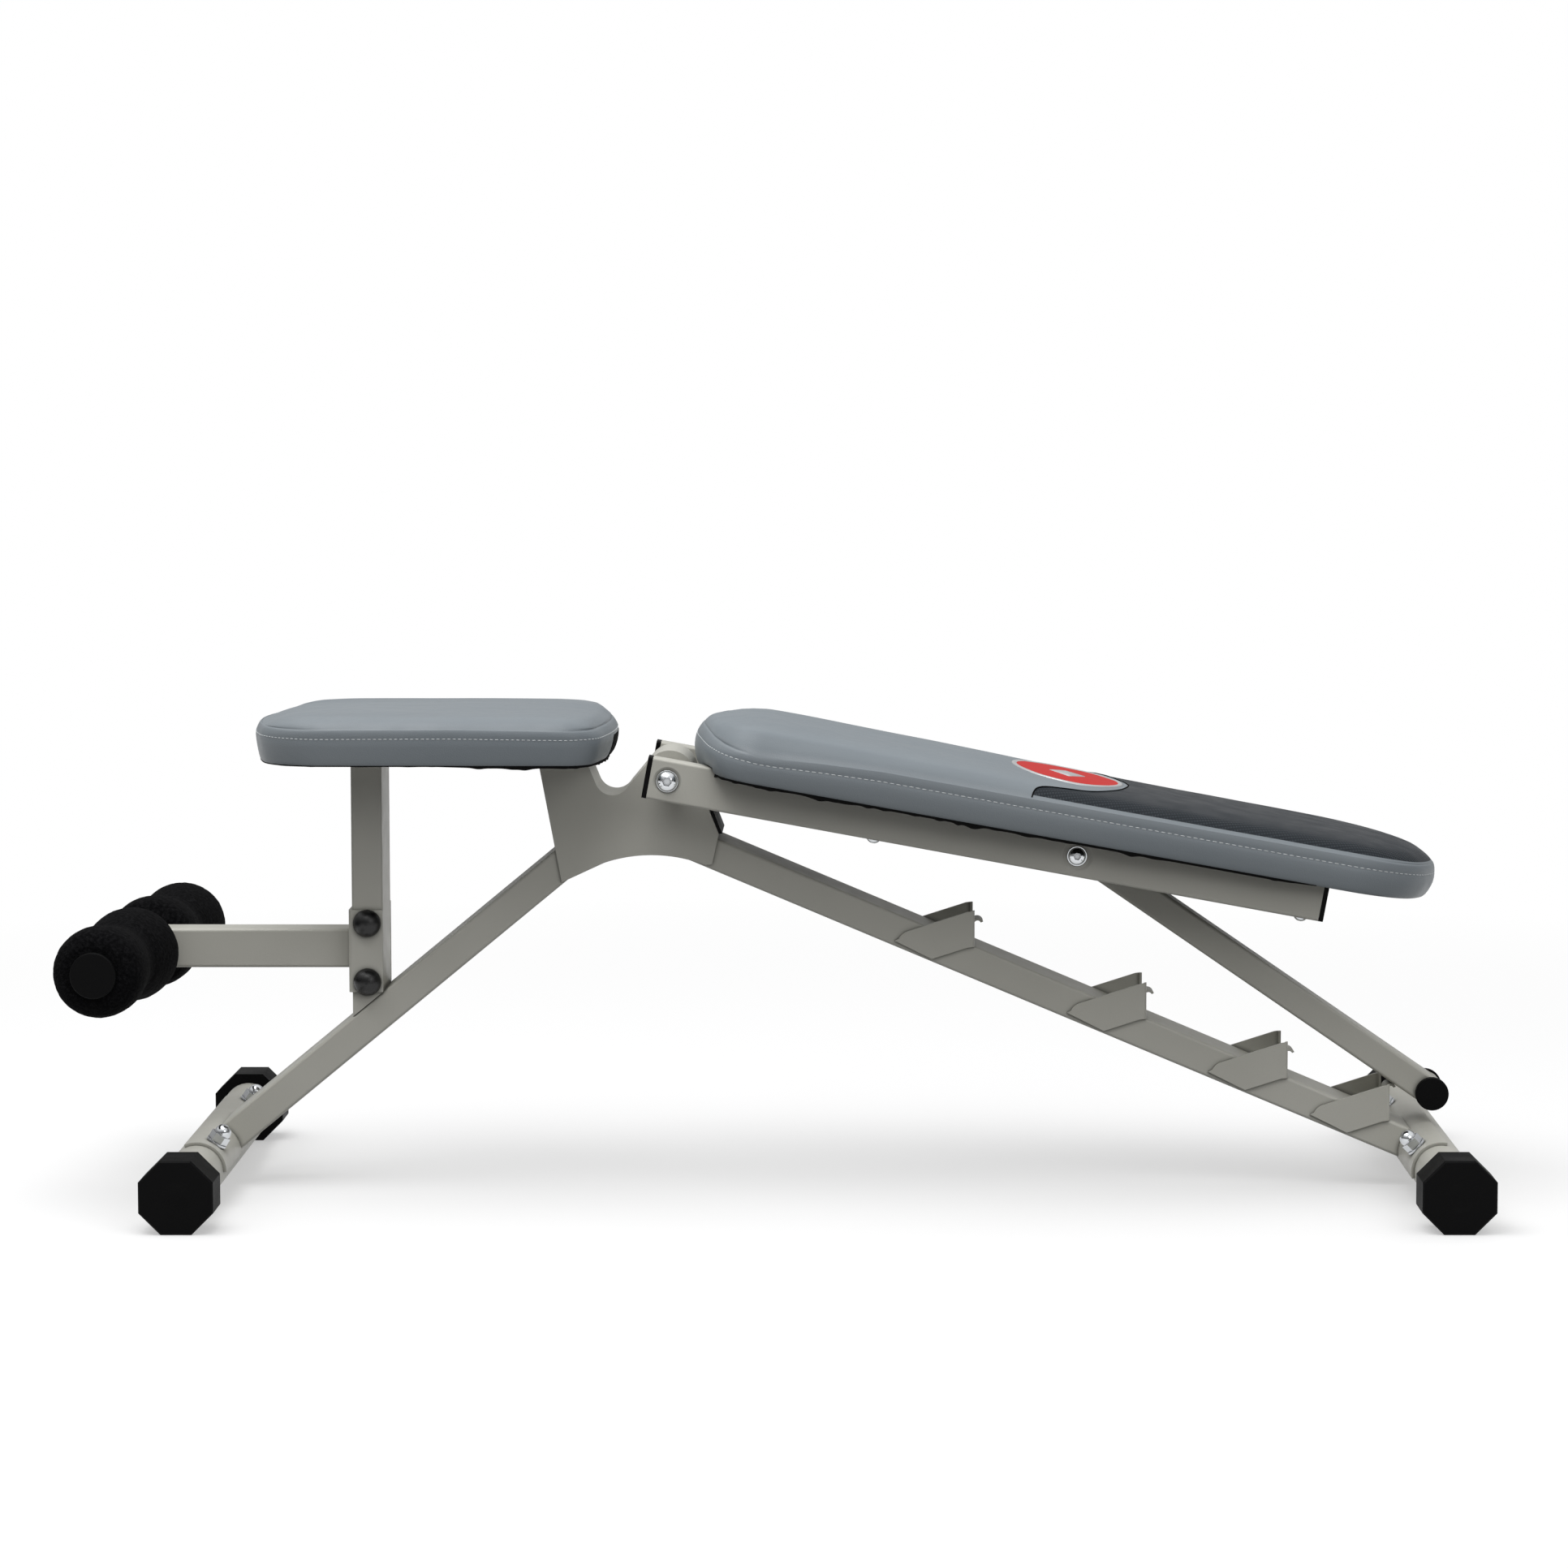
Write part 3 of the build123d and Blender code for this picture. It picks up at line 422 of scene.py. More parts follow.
class Pad:
    """A padded cover: rings around the outline from the board pocket, out and up the side, to the crown.

    Rows of sides and crown are an inset from the outline and a height. The bevel tucks the rim under at
    the two ends, and the lean slants the end walls inwards, each given for the foot and the head.
    """

    def __init__(self, foot, head, sides, crown, seam, lift, dip, bevel, lean, count):
        self.loop, self.normal = pad_outline(foot, head, count)
        self.count = count
        self.first_crown_ring = POCKET_RINGS + len(sides)
        self.sides = np.array(sides)
        self.crown = np.array(crown)
        self.seam = seam
        self.lift = lift
        self.dip = dip(self.loop[:, 0])
        end = np.abs(self.normal[:, 0])
        at_head = (self.normal[:, 0] < 0) * end ** 2
        at_foot = (self.normal[:, 0] > 0) * end ** 2
        self.bevel = bevel[0] * at_foot + bevel[1] * at_head
        self.lean = lean[0] * at_foot + lean[1] * at_head
        # The seam is a groove across the ends and hardly dents the long sides.
        self.groove = 0.06 + 0.94 * np.clip(end * 1.5 - 0.25, 0, 1)
        # The crown closes on a line down the middle, which stops 0.8 of a half width short of each end.
        share = (self.loop[:, 0] - foot[0]) / (head[0] - foot[0])
        low, high = foot[0] + 0.8 * foot[1], head[0] - 0.8 * head[1]
        self.spine = np.stack([low + (high - low) * share, np.zeros(count)], axis=1)

    def inset_ring(self, inward, height):
        return np.column_stack([self.loop + self.normal * inward[:, None], height])

    def spine_ring(self, edge, share, height):
        """A level ring part of the way from an edge to the line down the middle."""
        return np.column_stack([edge + (self.spine - edge) * share, np.full(self.count, height)])

    def grid(self):
        """Ring by outline array of pad coordinates: pocket, side and crown."""
        pocket_inset, ceiling = self.sides[0]
        inner = self.loop + self.normal * pocket_inset
        rings = [self.spine_ring(inner, share, ceiling) for share in np.linspace(1.0, 0.5, POCKET_RINGS)]
        low = self.sides[:, 1].min()
        stitched = self.sides[STITCH_ROW][1]
        for inset, height in self.sides:
            rise = np.clip((height - low) / (self.seam - low), 0, 1)
            tuck = np.clip((inset - 0.5) / 5.0, 0, 1) * (1 - rise)
            tilt = np.clip((height - stitched) / (self.seam - stitched), 0, 1)
            inward = inset + self.bevel * tuck + self.lean * tilt
            rings.append(self.inset_ring(inward, height + self.dip * rise))
        shoulder = [row for row in self.crown if row[0] <= SHOULDER_INSET]
        slope = [row for row in self.crown if row[0] > SHOULDER_INSET]
        for inset, height in shoulder:
            rise = max(0.0, 1.0 - (inset - 1.0) / (SHOULDER_INSET - 1.0))
            rings.append(self.inset_ring(inset + self.lean * rise, height + self.dip * rise))
        groove_start = len(rings) - len(shoulder) - len(SEAM_GROOVE) // 2
        for spot, depth in enumerate(SEAM_GROOVE, start=groove_start):
            rings[spot][:, :2] += self.normal * (depth * self.groove)[:, None]
        edge = rings[-1][:, :2]
        edge_inset = shoulder[-1][0]
        span = self.crown[-1][0] - edge_inset
        for inset, height in slope:
            rings.append(self.spine_ring(edge, (inset - edge_inset) / span, height))
        grid = np.array(rings)
        above = (grid[..., 2] > self.seam) & (np.arange(len(grid)) >= self.first_crown_ring)[:, None]
        raised = self.seam + (grid[..., 2] - self.seam) * self.lift(grid[..., 0])
        grid[..., 2] = np.where(above, raised, grid[..., 2])
        return grid


def added(name, data):
    """A new object of the scene."""
    made = bpy.data.objects.new(name, data)
    scene.collection.objects.link(made)
    return made


def mended(mesh, merge=0.0, fill=0):
    """Merges close points, drops loose ones, closes small holes and turns the faces outward."""
    work = bmesh.new()
    work.from_mesh(mesh)
    if merge:
        bmesh.ops.remove_doubles(work, verts=work.verts, dist=merge)
    bmesh.ops.delete(work, geom=[vert for vert in work.verts if not vert.link_faces], context="VERTS")
    if fill:
        bmesh.ops.holes_fill(work, edges=[edge for edge in work.edges if edge.is_boundary], sides=fill)
    bmesh.ops.recalc_face_normals(work, faces=work.faces)
    work.to_mesh(mesh)
    work.free()


def ring_mesh(name, grid, place, crown_from=None):
    """Closed mesh of a pad's rings, and each vertex's grid spot. The end rings lie on the middle line."""
    rings, count = grid.shape[:2]
    verts = place(grid[..., 0], grid[..., 1], grid[..., 2]).reshape(-1, 3)

    def index(ring, step):
        step %= count
        if ring in (0, rings - 1):
            step = min(step, count - step)
        return ring * count + step

    faces = []
    ring_of = []
    for ring in range(rings - 1):
        for step in range(count):
            quad = [index(ring, step), index(ring, step + 1)]
            quad += [index(ring + 1, step + 1), index(ring + 1, step)]
            quad = [corner for spot, corner in enumerate(quad) if corner != quad[spot - 1]]
            if len(quad) > 2:
                faces.append(quad)
                ring_of.append(ring)
    mesh = bpy.data.meshes.new(name)
    mesh.from_pydata(verts.tolist(), [], faces)
    layout = mesh.uv_layers.new(name="pad")
    flat = grid.reshape(-1, 3)
    corners = np.zeros(len(mesh.loops), dtype=np.int32)
    mesh.loops.foreach_get("vertex_index", corners)
    layout.data.foreach_set("uv", (flat[corners][:, :2] * MM).astype(np.float32).ravel())
    if crown_from is not None:
        mesh.polygons.foreach_set("material_index", [int(ring >= crown_from) for ring in ring_of])
    mended(mesh)
    mesh.shade_smooth()
    return added(name, mesh), sorted({corner for face in faces for corner in face})


def smoothed(field, passes):
    """A ring by outline field, averaged with its neighbours."""
    for _ in range(passes):
        field = 0.5 * field + 0.25 * (np.roll(field, 1, axis=1) + np.roll(field, -1, axis=1))
        padded = np.concatenate([field[:1], field, field[-1:]])
        field = 0.5 * field + 0.25 * (padded[:-2] + padded[2:])
    return field


CLOTH = {
    "quality": 5, "mass": 0.3, "tension_stiffness": 40, "compression_stiffness": 12, "shear_stiffness": 10,
    "bending_stiffness": 3, "use_pressure": True, "uniform_pressure_force": 4.0,
}
CLOTH_FRAMES = 18
CLOTH_STEP = 4
CLOTH_CAP = 6.0
HELD_HEIGHT = 9.0
HELD_RINGS = 6
CLOTH_SHARE = 0.3


def puffed(pad, place):
    """How far each ring point of a pad moves, in metres, when its cover is blown up as cloth.

    Every second ring and every fourth point round it are simulated, and the points between follow. The
    rim stays fixed.
    """
    full = pad.grid()
    ends = (*range(POCKET_RINGS), len(full) - 1)
    keep_rings = [ring for ring in range(len(full)) if ring in ends or ring % 2 == 0]
    coarse = full[keep_rings][:, ::CLOTH_STEP]
    rings, count = coarse.shape[:2]
    piece, used = ring_mesh("cloth_trial", coarse, place)
    verts = np.array([vert.co for vert in piece.data.vertices])
    heights = coarse[..., 2].reshape(-1)[used]
    ring_of = np.repeat(np.arange(rings), count)[used]
    low = pad.sides[:, 1].min()
    held = np.flatnonzero((heights < low + HELD_HEIGHT) | (ring_of < HELD_RINGS))
    piece.vertex_groups.new(name="held").add(held.tolist(), 1.0, "REPLACE")
    modifier = piece.modifiers.new("cloth", "CLOTH")
    for key, value in CLOTH.items():
        setattr(modifier.settings, key, value)
    modifier.settings.vertex_group_mass = "held"
    modifier.settings.effector_weights.gravity = 0.0
    modifier.point_cache.frame_start = 1
    modifier.point_cache.frame_end = CLOTH_FRAMES + 2
    for number in range(1, CLOTH_FRAMES + 1):
        scene.frame_set(number)
    graph = bpy.context.evaluated_depsgraph_get()
    result = piece.evaluated_get(graph).to_mesh()
    shift = np.zeros((rings * count, 3))
    shift[used] = np.array([vert.co for vert in result.vertices]) - verts
    shift = shift.reshape(rings, count, 3)
    for ring in (0, rings - 1):
        for step in range(count // 2 + 1, count):
            shift[ring, step] = shift[ring, count - step]
    length = np.linalg.norm(shift, axis=2, keepdims=True)
    shift *= np.minimum(1.0, CLOTH_CAP * MM / np.maximum(length, 1e-9))
    shift = smoothed(shift, 3)
    scene.frame_set(1)
    mesh = piece.data
    bpy.data.objects.remove(piece)
    bpy.data.meshes.remove(mesh)
    wide = np.concatenate([shift, shift[:, :1]], axis=1)
    steps = np.arange(pad.count) / CLOTH_STEP
    lower = steps.astype(int)
    part = (steps - lower)[None, :, None]
    along = wide[:, lower] * (1 - part) + wide[:, lower + 1] * part
    fine = np.empty((len(full), pad.count, 3))
    for axis in range(3):
        for step in range(pad.count):
            fine[:, step, axis] = np.interp(np.arange(len(full)), keep_rings, along[:, step, axis])
    return smoothed(fine, 3)


# How far each ring about the seam is pulled in.
SEAM_GROOVE = (0.05, 0.30, 0.95, 1.10, 0.45, 0.10)
BACK_SIDES = [
    (8.3, 33.0), (8.3, 27.0), (8.2, 21.0), (7.4, 17.0), (6.4, 15.4), (5.2, 15.1), (4.2, 15.9), (3.2, 18.0),
    (2.2, 21.5), (1.2, 26.0), (0.5, 30.0), (0.2, 34.0), (0.35, 38.0), (0.9, 39.8), (0.6, 41.2), (0.75, 44.0),
    (1.2, 46.3), (1.6, 47.6), (2.0, 48.5), (2.2, 48.9),
]
BACK_CROWN = [
    (2.4, 49.3), (2.7, 50.1), (3.3, 51.4), (4.4, 53.2), (5.8, 55.2), (7.4, 57.0), (9.2, 58.7), (11.2, 60.2),
    (13.4, 61.6), (15.9, 62.9), (21.0, 64.6), (29.0, 66.0), (39.0, 67.2), (52.0, 68.0), (68.0, 68.5),
    (88.0, 68.8), (110.0, 68.95), (128.0, 69.0),
]
SEAT_SIDES = [
    (8.3, 437.2), (8.3, 431.0), (8.2, 425.0), (7.2, 421.3), (6.3, 420.0), (5.4, 419.8), (4.6, 420.3),
    (3.9, 421.8), (3.2, 424.5), (2.4, 428.5), (1.6, 433.0), (0.9, 438.0), (0.4, 443.0), (0.9, 446.2),
    (0.5, 447.8), (0.6, 450.5), (0.95, 452.6), (1.35, 453.8), (1.75, 454.6), (1.95, 454.9),
]
SEAT_CROWN = [
    (2.1, 455.2), (2.4, 455.9), (3.0, 457.0), (4.0, 458.3), (5.4, 459.5), (7.3, 460.7), (9.8, 461.8),
    (12.6, 462.7), (15.9, 463.5), (22.0, 464.3), (32.0, 464.9), (45.0, 465.2), (62.0, 465.4), (82.0, 465.5),
    (105.0, 465.6), (125.0, 465.6),
]


def back_lift(u):
    """How thick the crown is along the backrest, as a share of the height that its rows give."""
    along = [20, 80, 150, 300, 383, 500, 600, 700, 748]
    return np.interp(u, along, [0.98, 1.08, 1.06, 0.92, 0.82, 0.79, 0.77, 0.72, 0.60])


def seat_lift(u):
    along = [-501, -488, -477, -467, -457, -448, -420, -390, -214, -190, -170, -158, -151]
    return np.interp(u, along, [0.10, 0.28, 0.56, 0.80, 0.97, 1.03, 1.07, 1.08, 1.02, 0.97, 0.80, 0.50, 0.35])


def back_dip(u):
    """How far the seam rises or dips along the backrest."""
    along = [17, 22, 31, 43, 58, 83, 97, 141, 200, 748]
    return np.interp(u, along, [5.5, 4.5, 0.2, -2.4, -4.6, -6.6, -6.2, -2.9, 0.0, 0.0])


def seat_dip(u):
    along = [-501, -470, -440, -300, -235, -190, -165, -151]
    return np.interp(u, along, [1.2, 0.0, -0.6, 0.0, -1.2, -2.0, -1.6, -0.8])


def ripple(grid, seed, amount):
    """Slow, lengthwise unevenness of foam under vinyl, in millimetres."""
    out = np.zeros(grid.shape[:2])
    for ring in range(grid.shape[0]):
        for step in range(grid.shape[1]):
            u, y, _ = grid[ring, step]
            value = noise.noise(Vector((u / 120.0 + seed, y / 42.0, seed))) * 0.7
            out[ring, step] = value + noise.noise(Vector((u / 50.0, y / 18.0 + seed, seed * 2))) * 0.3
    return out * amount


RIM_RINGS = slice(4, 12)
RIM_OVER_RAILS = 20.6
RAIL_REACH = 15.0


def over_rails(grid):
    """Lifts the backrest's lower rim clear of the foot ends of the two rails."""
    rim = grid[RIM_RINGS]
    near = (np.abs(np.abs(rim[..., 1]) - RAIL_Y) < RAIL_REACH) & (rim[..., 0] < RAIL_ZONE)
    rim[..., 2] = np.where(near, np.maximum(rim[..., 2], RIM_OVER_RAILS), rim[..., 2])


SIDE_PUFF_FROM = 9
SIDE_PUFF = 0.35
# The top look starts this many rings into the crown; the backrest's top look has its vinyl painted a little
# lighter, as painted light.
TOP_RINGS_IN_SIDE_LOOK = 3


def make_pad(name, pad, place, seed, looks, trim=None):
    """The finished cover of one pad, and its ring points in metres."""
    grid = pad.grid()
    first = pad.first_crown_ring
    crown_rings = np.arange(len(grid) - first)
    fade = np.zeros(len(grid))
    fade[first:] = np.clip(crown_rings / 6.0, 0, 1)
    grid[..., 2] += ripple(grid, seed, 0.9) * fade[:, None]
    if trim:
        trim(grid)
    places = place(grid[..., 0], grid[..., 1], grid[..., 2])
    weight = np.zeros(len(grid))
    weight[first:] = np.clip((crown_rings + 1) / 4.0, 0, 1)
    weight[SIDE_PUFF_FROM:first] = SIDE_PUFF * np.sin(np.linspace(0, math.pi, first - SIDE_PUFF_FROM))
    places = places + puffed(pad, place) * weight[:, None, None] * CLOTH_SHARE
    piece, used = ring_mesh(name, grid, place, crown_from=first + TOP_RINGS_IN_SIDE_LOOK)
    piece.data.vertices.foreach_set("co", places.reshape(-1, 3)[used].astype(np.float32).ravel())
    piece.data.update()
    for look in looks:
        piece.data.materials.append(look)
    return piece, places


back = Pad(
    BACK_FOOT, BACK_HEAD, BACK_SIDES, BACK_CROWN, seam=49.1, lift=back_lift, dip=back_dip, bevel=(4.0, 4.0),
    lean=(3.2, 1.5), count=480,
)
seat = Pad(
    SEAT_FOOT, SEAT_HEAD, SEAT_SIDES, SEAT_CROWN, seam=455.1, lift=seat_lift, dip=seat_dip, bevel=(0.4, 4.6),
    lean=(3.6, 4.4), count=320,
)
back_piece, back_places = make_pad("back_cushion", back, to_back, 3.1, (vinyl, vinyl_top), over_rails)
seat_piece, seat_places = make_pad("seat_cushion", seat, to_seat, 7.7, (vinyl, vinyl))
for piece, body, node in ((back_piece, "backrest", "back_pad"), (seat_piece, "frame", "seat_pad")):
    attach(piece, body)
    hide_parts(node)


# ---------------------------------------------------------------- stitches, seams and trims
def new_piece(name, verts, faces, looks, body, smooth=True):
    """A piece of the visual model, from points in metres."""
    mesh = bpy.data.meshes.new(name)
    mesh.from_pydata([tuple(map(float, vert)) for vert in verts], [], faces)
    mesh.update()
    if smooth:
        mesh.shade_smooth()
    for look in looks:
        mesh.materials.append(look)
    piece = added(name, mesh)
    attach(piece, body)
    return piece


def along_loop(points, distance):
    """Point and direction at a distance round a closed run of points, and the run's whole length."""
    closed = np.concatenate([points, points[:1]])
    steps = np.concatenate([[0], np.cumsum(np.linalg.norm(np.diff(closed, axis=0), axis=1))])
    distance = distance % steps[-1]
    spot = min(np.searchsorted(steps, distance, side="right") - 1, len(points) - 1)
    part = (distance - steps[spot]) / max(steps[spot + 1] - steps[spot], 1e-9)
    ahead = closed[spot + 1] - closed[spot]
    return closed[spot] + ahead * part, ahead / max(np.linalg.norm(ahead), 1e-9), steps[-1]


def rod_faces(start, rings, sides):
    """Faces of a closed rod whose rings of points begin at a start."""
    faces = []
    for ring in range(rings - 1):
        for turn in range(sides):
            a = start + ring * sides + turn
            b = start + ring * sides + (turn + 1) % sides
            faces.append((a, b, b + sides, a + sides))
    faces.append(tuple(start + turn for turn in reversed(range(sides))))
    end = start + (rings - 1) * sides
    faces.append(tuple(end + turn for turn in range(sides)))
    return faces


# Each ring of a stitch: its place along the length and its share of the radius.
STITCH_SHAPE = ((-0.5, 0.25), (-0.32, 0.9), (0.0, 1.0), (0.32, 0.9), (0.5, 0.25))


def stitches(name, ring, outward, pitch, length, radius, body):
    """Short rounded stitches end to end round a pad."""
    sides = 6
    verts, faces = [], []
    total = along_loop(ring, 0.0)[2]
    number = int(total / pitch)
    for item in range(number):
        centre, heading, _ = along_loop(ring, (item + 0.5) * total / number)
        out = outward(centre)
        out = out - heading * (out @ heading)
        out /= np.linalg.norm(out)
        side = np.cross(heading, out)
        start = len(verts)
        for share, size in STITCH_SHAPE:
            for turn in range(sides):
                angle = 2 * math.pi * turn / sides
                offset = out * math.cos(angle) + side * math.sin(angle)
                verts.append(centre + heading * share * length + offset * radius * size)
        faces += rod_faces(start, len(STITCH_SHAPE), sides)
    return new_piece(name, verts, faces, (thread,), body)


def tube(name, points, radius, look, body):
    """Thin closed tube through points, in metres."""
    sides = 6
    verts = []
    points = np.array(points)
    ahead = np.gradient(points, axis=0)
    for spot, point in enumerate(points):
        heading = ahead[spot] / np.linalg.norm(ahead[spot])
        side = np.cross(heading, (0.0, 0.0, 1.0))
        side /= max(np.linalg.norm(side), 1e-9)
        up = np.cross(side, heading)
        for turn in range(sides):
            angle = 2 * math.pi * turn / sides
            verts.append(point + (side * math.cos(angle) + up * math.sin(angle)) * radius)
    return new_piece(name, verts, rod_faces(0, len(points), sides), (look,), body)


def edge_outward(places):
    """Outward direction at the point nearest to a place on a pad's side wall."""
    ring = places[STITCH_RING - 1]
    ahead = np.roll(ring, -1, axis=0) - np.roll(ring, 1, axis=0)
    up = places[STITCH_RING + 5] - places[STITCH_RING - 5]

    def outward(point):
        spot = int(np.argmin(np.linalg.norm(ring - point, axis=1)))
        out = np.cross(ahead[spot], up[spot])
        return out / np.linalg.norm(out)
    return outward


back_out = edge_outward(back_places)
seat_out = edge_outward(seat_places)
stitches("back_stitches", back_places[STITCH_RING], back_out, 6.2 * MM, 4.3 * MM, 0.5 * MM, "backrest")
stitches("seat_stitches", seat_places[STITCH_RING], seat_out, 5.0 * MM, 3.3 * MM, 0.5 * MM, "frame")

back_tree = BVHTree.FromObject(back_piece, bpy.context.evaluated_depsgraph_get())
back_up = Vector((math.sin(BACK_ANGLE), 0.0, math.cos(BACK_ANGLE)))
WELL_ABOVE = 140.0


def on_back(u, y, lift):
    """A point in metres on the backrest's top, lifted off it by some millimetres."""
    hit = back_tree.ray_cast(Vector(to_back(u, y, WELL_ABOVE)), -back_up, 200 * MM)[0]
    return np.array(hit + back_up * lift * MM)


def panel_start(y):
    """Where the dark panel begins, in millimetres along the pad."""
    share = min(abs(y) / PANEL_WIDEST, 1.0)
    return PANEL_LOW + PANEL_SPAN * panel_mapping.evaluate(panel_mapping.curves[0], share)


SEAM_END = 133.5
edge_places = [on_back(panel_start(y), y, 0.1) for y in np.linspace(-SEAM_END, SEAM_END, 241)]
tube("panel_seam", edge_places, 0.75 * MM, cloth, "backrest")

# The badge's rings, from the centre out: share of its size and height above the pad.
BADGE_FIELD = [(part / 10, 0.5) for part in range(9)] + [(0.88, 0.5)]
BADGE_RIM = [(0.915, 0.5), (0.93, 1.0), (0.96, 1.1), (0.985, 1.0), (1.0, 0.6), (1.0, -0.5)]
LOZENGE = ((-18.0, 0.0), (0.0, 30.0), (18.0, 0.0), (0.0, -30.0))


def lozenge_point(corner, share, grow):
    """A point on one side of the lozenge, in pad coordinates."""
    start, end = LOZENGE[corner], LOZENGE[(corner + 1) % 4]
    u = BADGE_CENTRE + grow * (start[0] + (end[0] - start[0]) * share)
    return u, grow * (start[1] + (end[1] - start[1]) * share)


def band_faces(start, rings, around):
    """Faces between neighbouring rings of points."""
    faces = []
    for ring in range(rings - 1):
        for step in range(around):
            a = start + ring * around + step
            b = start + ring * around + (step + 1) % around
            faces.append((a, a + around, b + around, b))
    return faces


def oval_piece():
    """Generic oval badge: red field, raised silver rim and a plain silver lozenge."""
    verts = []
    rows = BADGE_FIELD + BADGE_RIM
    steps = 96
    for share, lift in rows:
        for step in range(steps):
            angle = 2 * math.pi * step / steps
            u = BADGE_CENTRE + BADGE_HALF[0] * share * math.cos(angle)
            verts.append(on_back(u, BADGE_HALF[1] * share * math.sin(angle), lift))
    faces = band_faces(steps, len(rows) - 1, steps)
    red_faces = (len(BADGE_FIELD) - 1) * steps
    looks = [int(spot >= red_faces) for spot in range(len(faces))]
    faces += [(0, steps + step, steps + (step + 1) % steps) for step in range(steps)]
    looks += [0] * steps
    used = len(verts)
    parts = 6
    for lift, grow in ((0.3, 1.0), (1.0, 0.97), (1.0, 0.0)):
        for corner in range(4):
            for part in range(parts):
                verts.append(on_back(*lozenge_point(corner, part / parts, grow), lift))
    lozenge_faces = band_faces(used, 3, 4 * parts)
    faces += lozenge_faces
    looks += [1] * len(lozenge_faces)
    piece = new_piece("badge", verts, faces, (badge_red, badge_silver), "backrest")
    piece.data.polygons.foreach_set("material_index", looks)
    mended(piece.data, merge=1e-6)
    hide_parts("back_badge")


oval_piece()


HEM_DROP = 1.7
HEM_DEEPEST = 4.4
HEM_GONE = 0.02


def cloth_hem(name, pad, place, low, tops, seed, body, reach):
    """Wavy edge of the dust cloth that shows below a pad's rim, where reach lets it."""
    rng = random.Random(seed)
    count = pad.count * 2
    bumps = []
    for _ in range(int(count / 11)):
        bumps.append((rng.uniform(0, count), rng.uniform(0.4, 1.6), rng.uniform(1.5, 5.0)))
    verts, faces = [], []
    shown = []
    for step in range(count):
        spot = step / 2.0
        lower = int(spot) % pad.count
        part = spot - int(spot)
        after = (lower + 1) % pad.count
        flat = pad.loop[lower] * (1 - part) + pad.loop[after] * part
        normal = pad.normal[lower] * (1 - part) + pad.normal[after] * part
        drop = HEM_DROP
        for where, depth, wide in bumps:
            gap = min(abs(step - where), count - abs(step - where))
            drop += depth * math.exp(-(gap / wide) ** 2)
        drop = min(drop, HEM_DEEPEST) * reach(flat)
        shown.append(drop)
        tuck = pad.bevel[lower] * (1 - part) + pad.bevel[after] * part
        for inset, height in ((4.6, tops), (4.3, low - drop), (5.2, low - drop), (5.8, tops)):
            u, y = flat + normal * (inset + tuck)
            verts.append(place(u, y, height))
    for step in range(count):
        after = (step + 1) % count
        if min(shown[step], shown[after]) <= HEM_GONE:
            continue
        for turn in range(4):
            a, b = step * 4 + turn, step * 4 + (turn + 1) % 4
            c, d = after * 4 + (turn + 1) % 4, after * 4 + turn
            faces.append((a, d, c, b))
    piece = new_piece(name, verts, faces, (cloth,), body, smooth=False)
    mended(piece.data, fill=4)


def back_reach(flat):
    """No hem over the rails, at the saddle and under the head, and a whole one elsewhere."""
    over_rail = abs(abs(flat[1]) - RAIL_Y) < RAIL_REACH + 1.0 and flat[0] < RAIL_ZONE
    near_saddle = abs(flat[1]) < 46.0 and flat[0] < 60.0
    return 0.0 if over_rail or near_saddle else float(np.clip((625.0 - flat[0]) / 30.0, 0.0, 1.0))


def seat_reach(flat):
    """A faint hem under the front half of the seat, and a whole one under the rear half."""
    return float(np.clip((flat[0] + 324.0) / 60.0, 0.12, 1.0))


FLAP_HALF = 46.0
FLAP_RINGS = range(8, 15)
FLAP_OUT = 1.3
FLAP_IN = 0.7


def flap_bulge(y, row):
    """How far the flap stands off the wall, from 0 at its ends to 1."""
    across = math.sqrt(max(0.0, 1.0 - (y / FLAP_HALF) ** 2))
    return across * math.sin(math.pi * (row - FLAP_RINGS.start + 0.6) / (len(FLAP_RINGS) + 0.6))


def rear_flap():
    """Thin black strip over the middle of the seat's rear end wall, in the dust cloth's look, bulging off the
    wall.
    """
    at_rear = (seat.normal[:, 0] < 0) & (np.abs(seat.loop[:, 1]) < FLAP_HALF)
    columns = sorted(np.flatnonzero(at_rear), key=lambda step: seat.loop[step, 1])
    verts, faces = [], []
    for outside in (True, False):
        for row in FLAP_RINGS:
            for step in columns:
                lift = FLAP_OUT * flap_bulge(seat.loop[step, 1], row) if outside else -FLAP_IN
                out = seat_out(seat_places[STITCH_RING][step])
                verts.append(seat_places[row][step] + out * lift * MM)
    wide, tall = len(columns), len(FLAP_RINGS)
    back_start = wide * tall
    for row in range(tall - 1):
        for col in range(wide - 1):
            a = row * wide + col
            quad = (a, a + 1, a + 1 + wide, a + wide)
            faces.append(quad)
            faces.append(tuple(back_start + corner for corner in reversed(quad)))
    edge = list(range(wide)) + [row * wide + wide - 1 for row in range(1, tall)]
    edge += [(tall - 1) * wide + col for col in range(wide - 2, -1, -1)]
    edge += [row * wide for row in range(tall - 2, 0, -1)]
    for spot, first in enumerate(edge):
        second = edge[(spot + 1) % len(edge)]
        faces.append((second, first, back_start + first, back_start + second))
    mended(new_piece("seat_rear_flap", verts, faces, (cloth,), "frame").data)


rear_flap()
cloth_hem("back_cloth_hem", back, to_back, 15.1, 17.5, 11, "backrest", back_reach)
cloth_hem("seat_cloth_hem", seat, to_seat, 419.8, 422.2, 5, "frame", seat_reach)


# ---------------------------------------------------------------- foam rollers, in millimetres
FOAM_ENDS = (22.5, 205.6)
FOAM_MIDDLE = sum(FOAM_ENDS) / 2
FOAM_BORE = 12.6
# Rows thicker than this belong to a lobe, and the inner and the outer lobe grow by these factors.
FOAM_WAIST = 35.5
LOBE_GROWTH = (1.08, 1.04)
FOAM_ROWS = 170
END_ROWS = 14
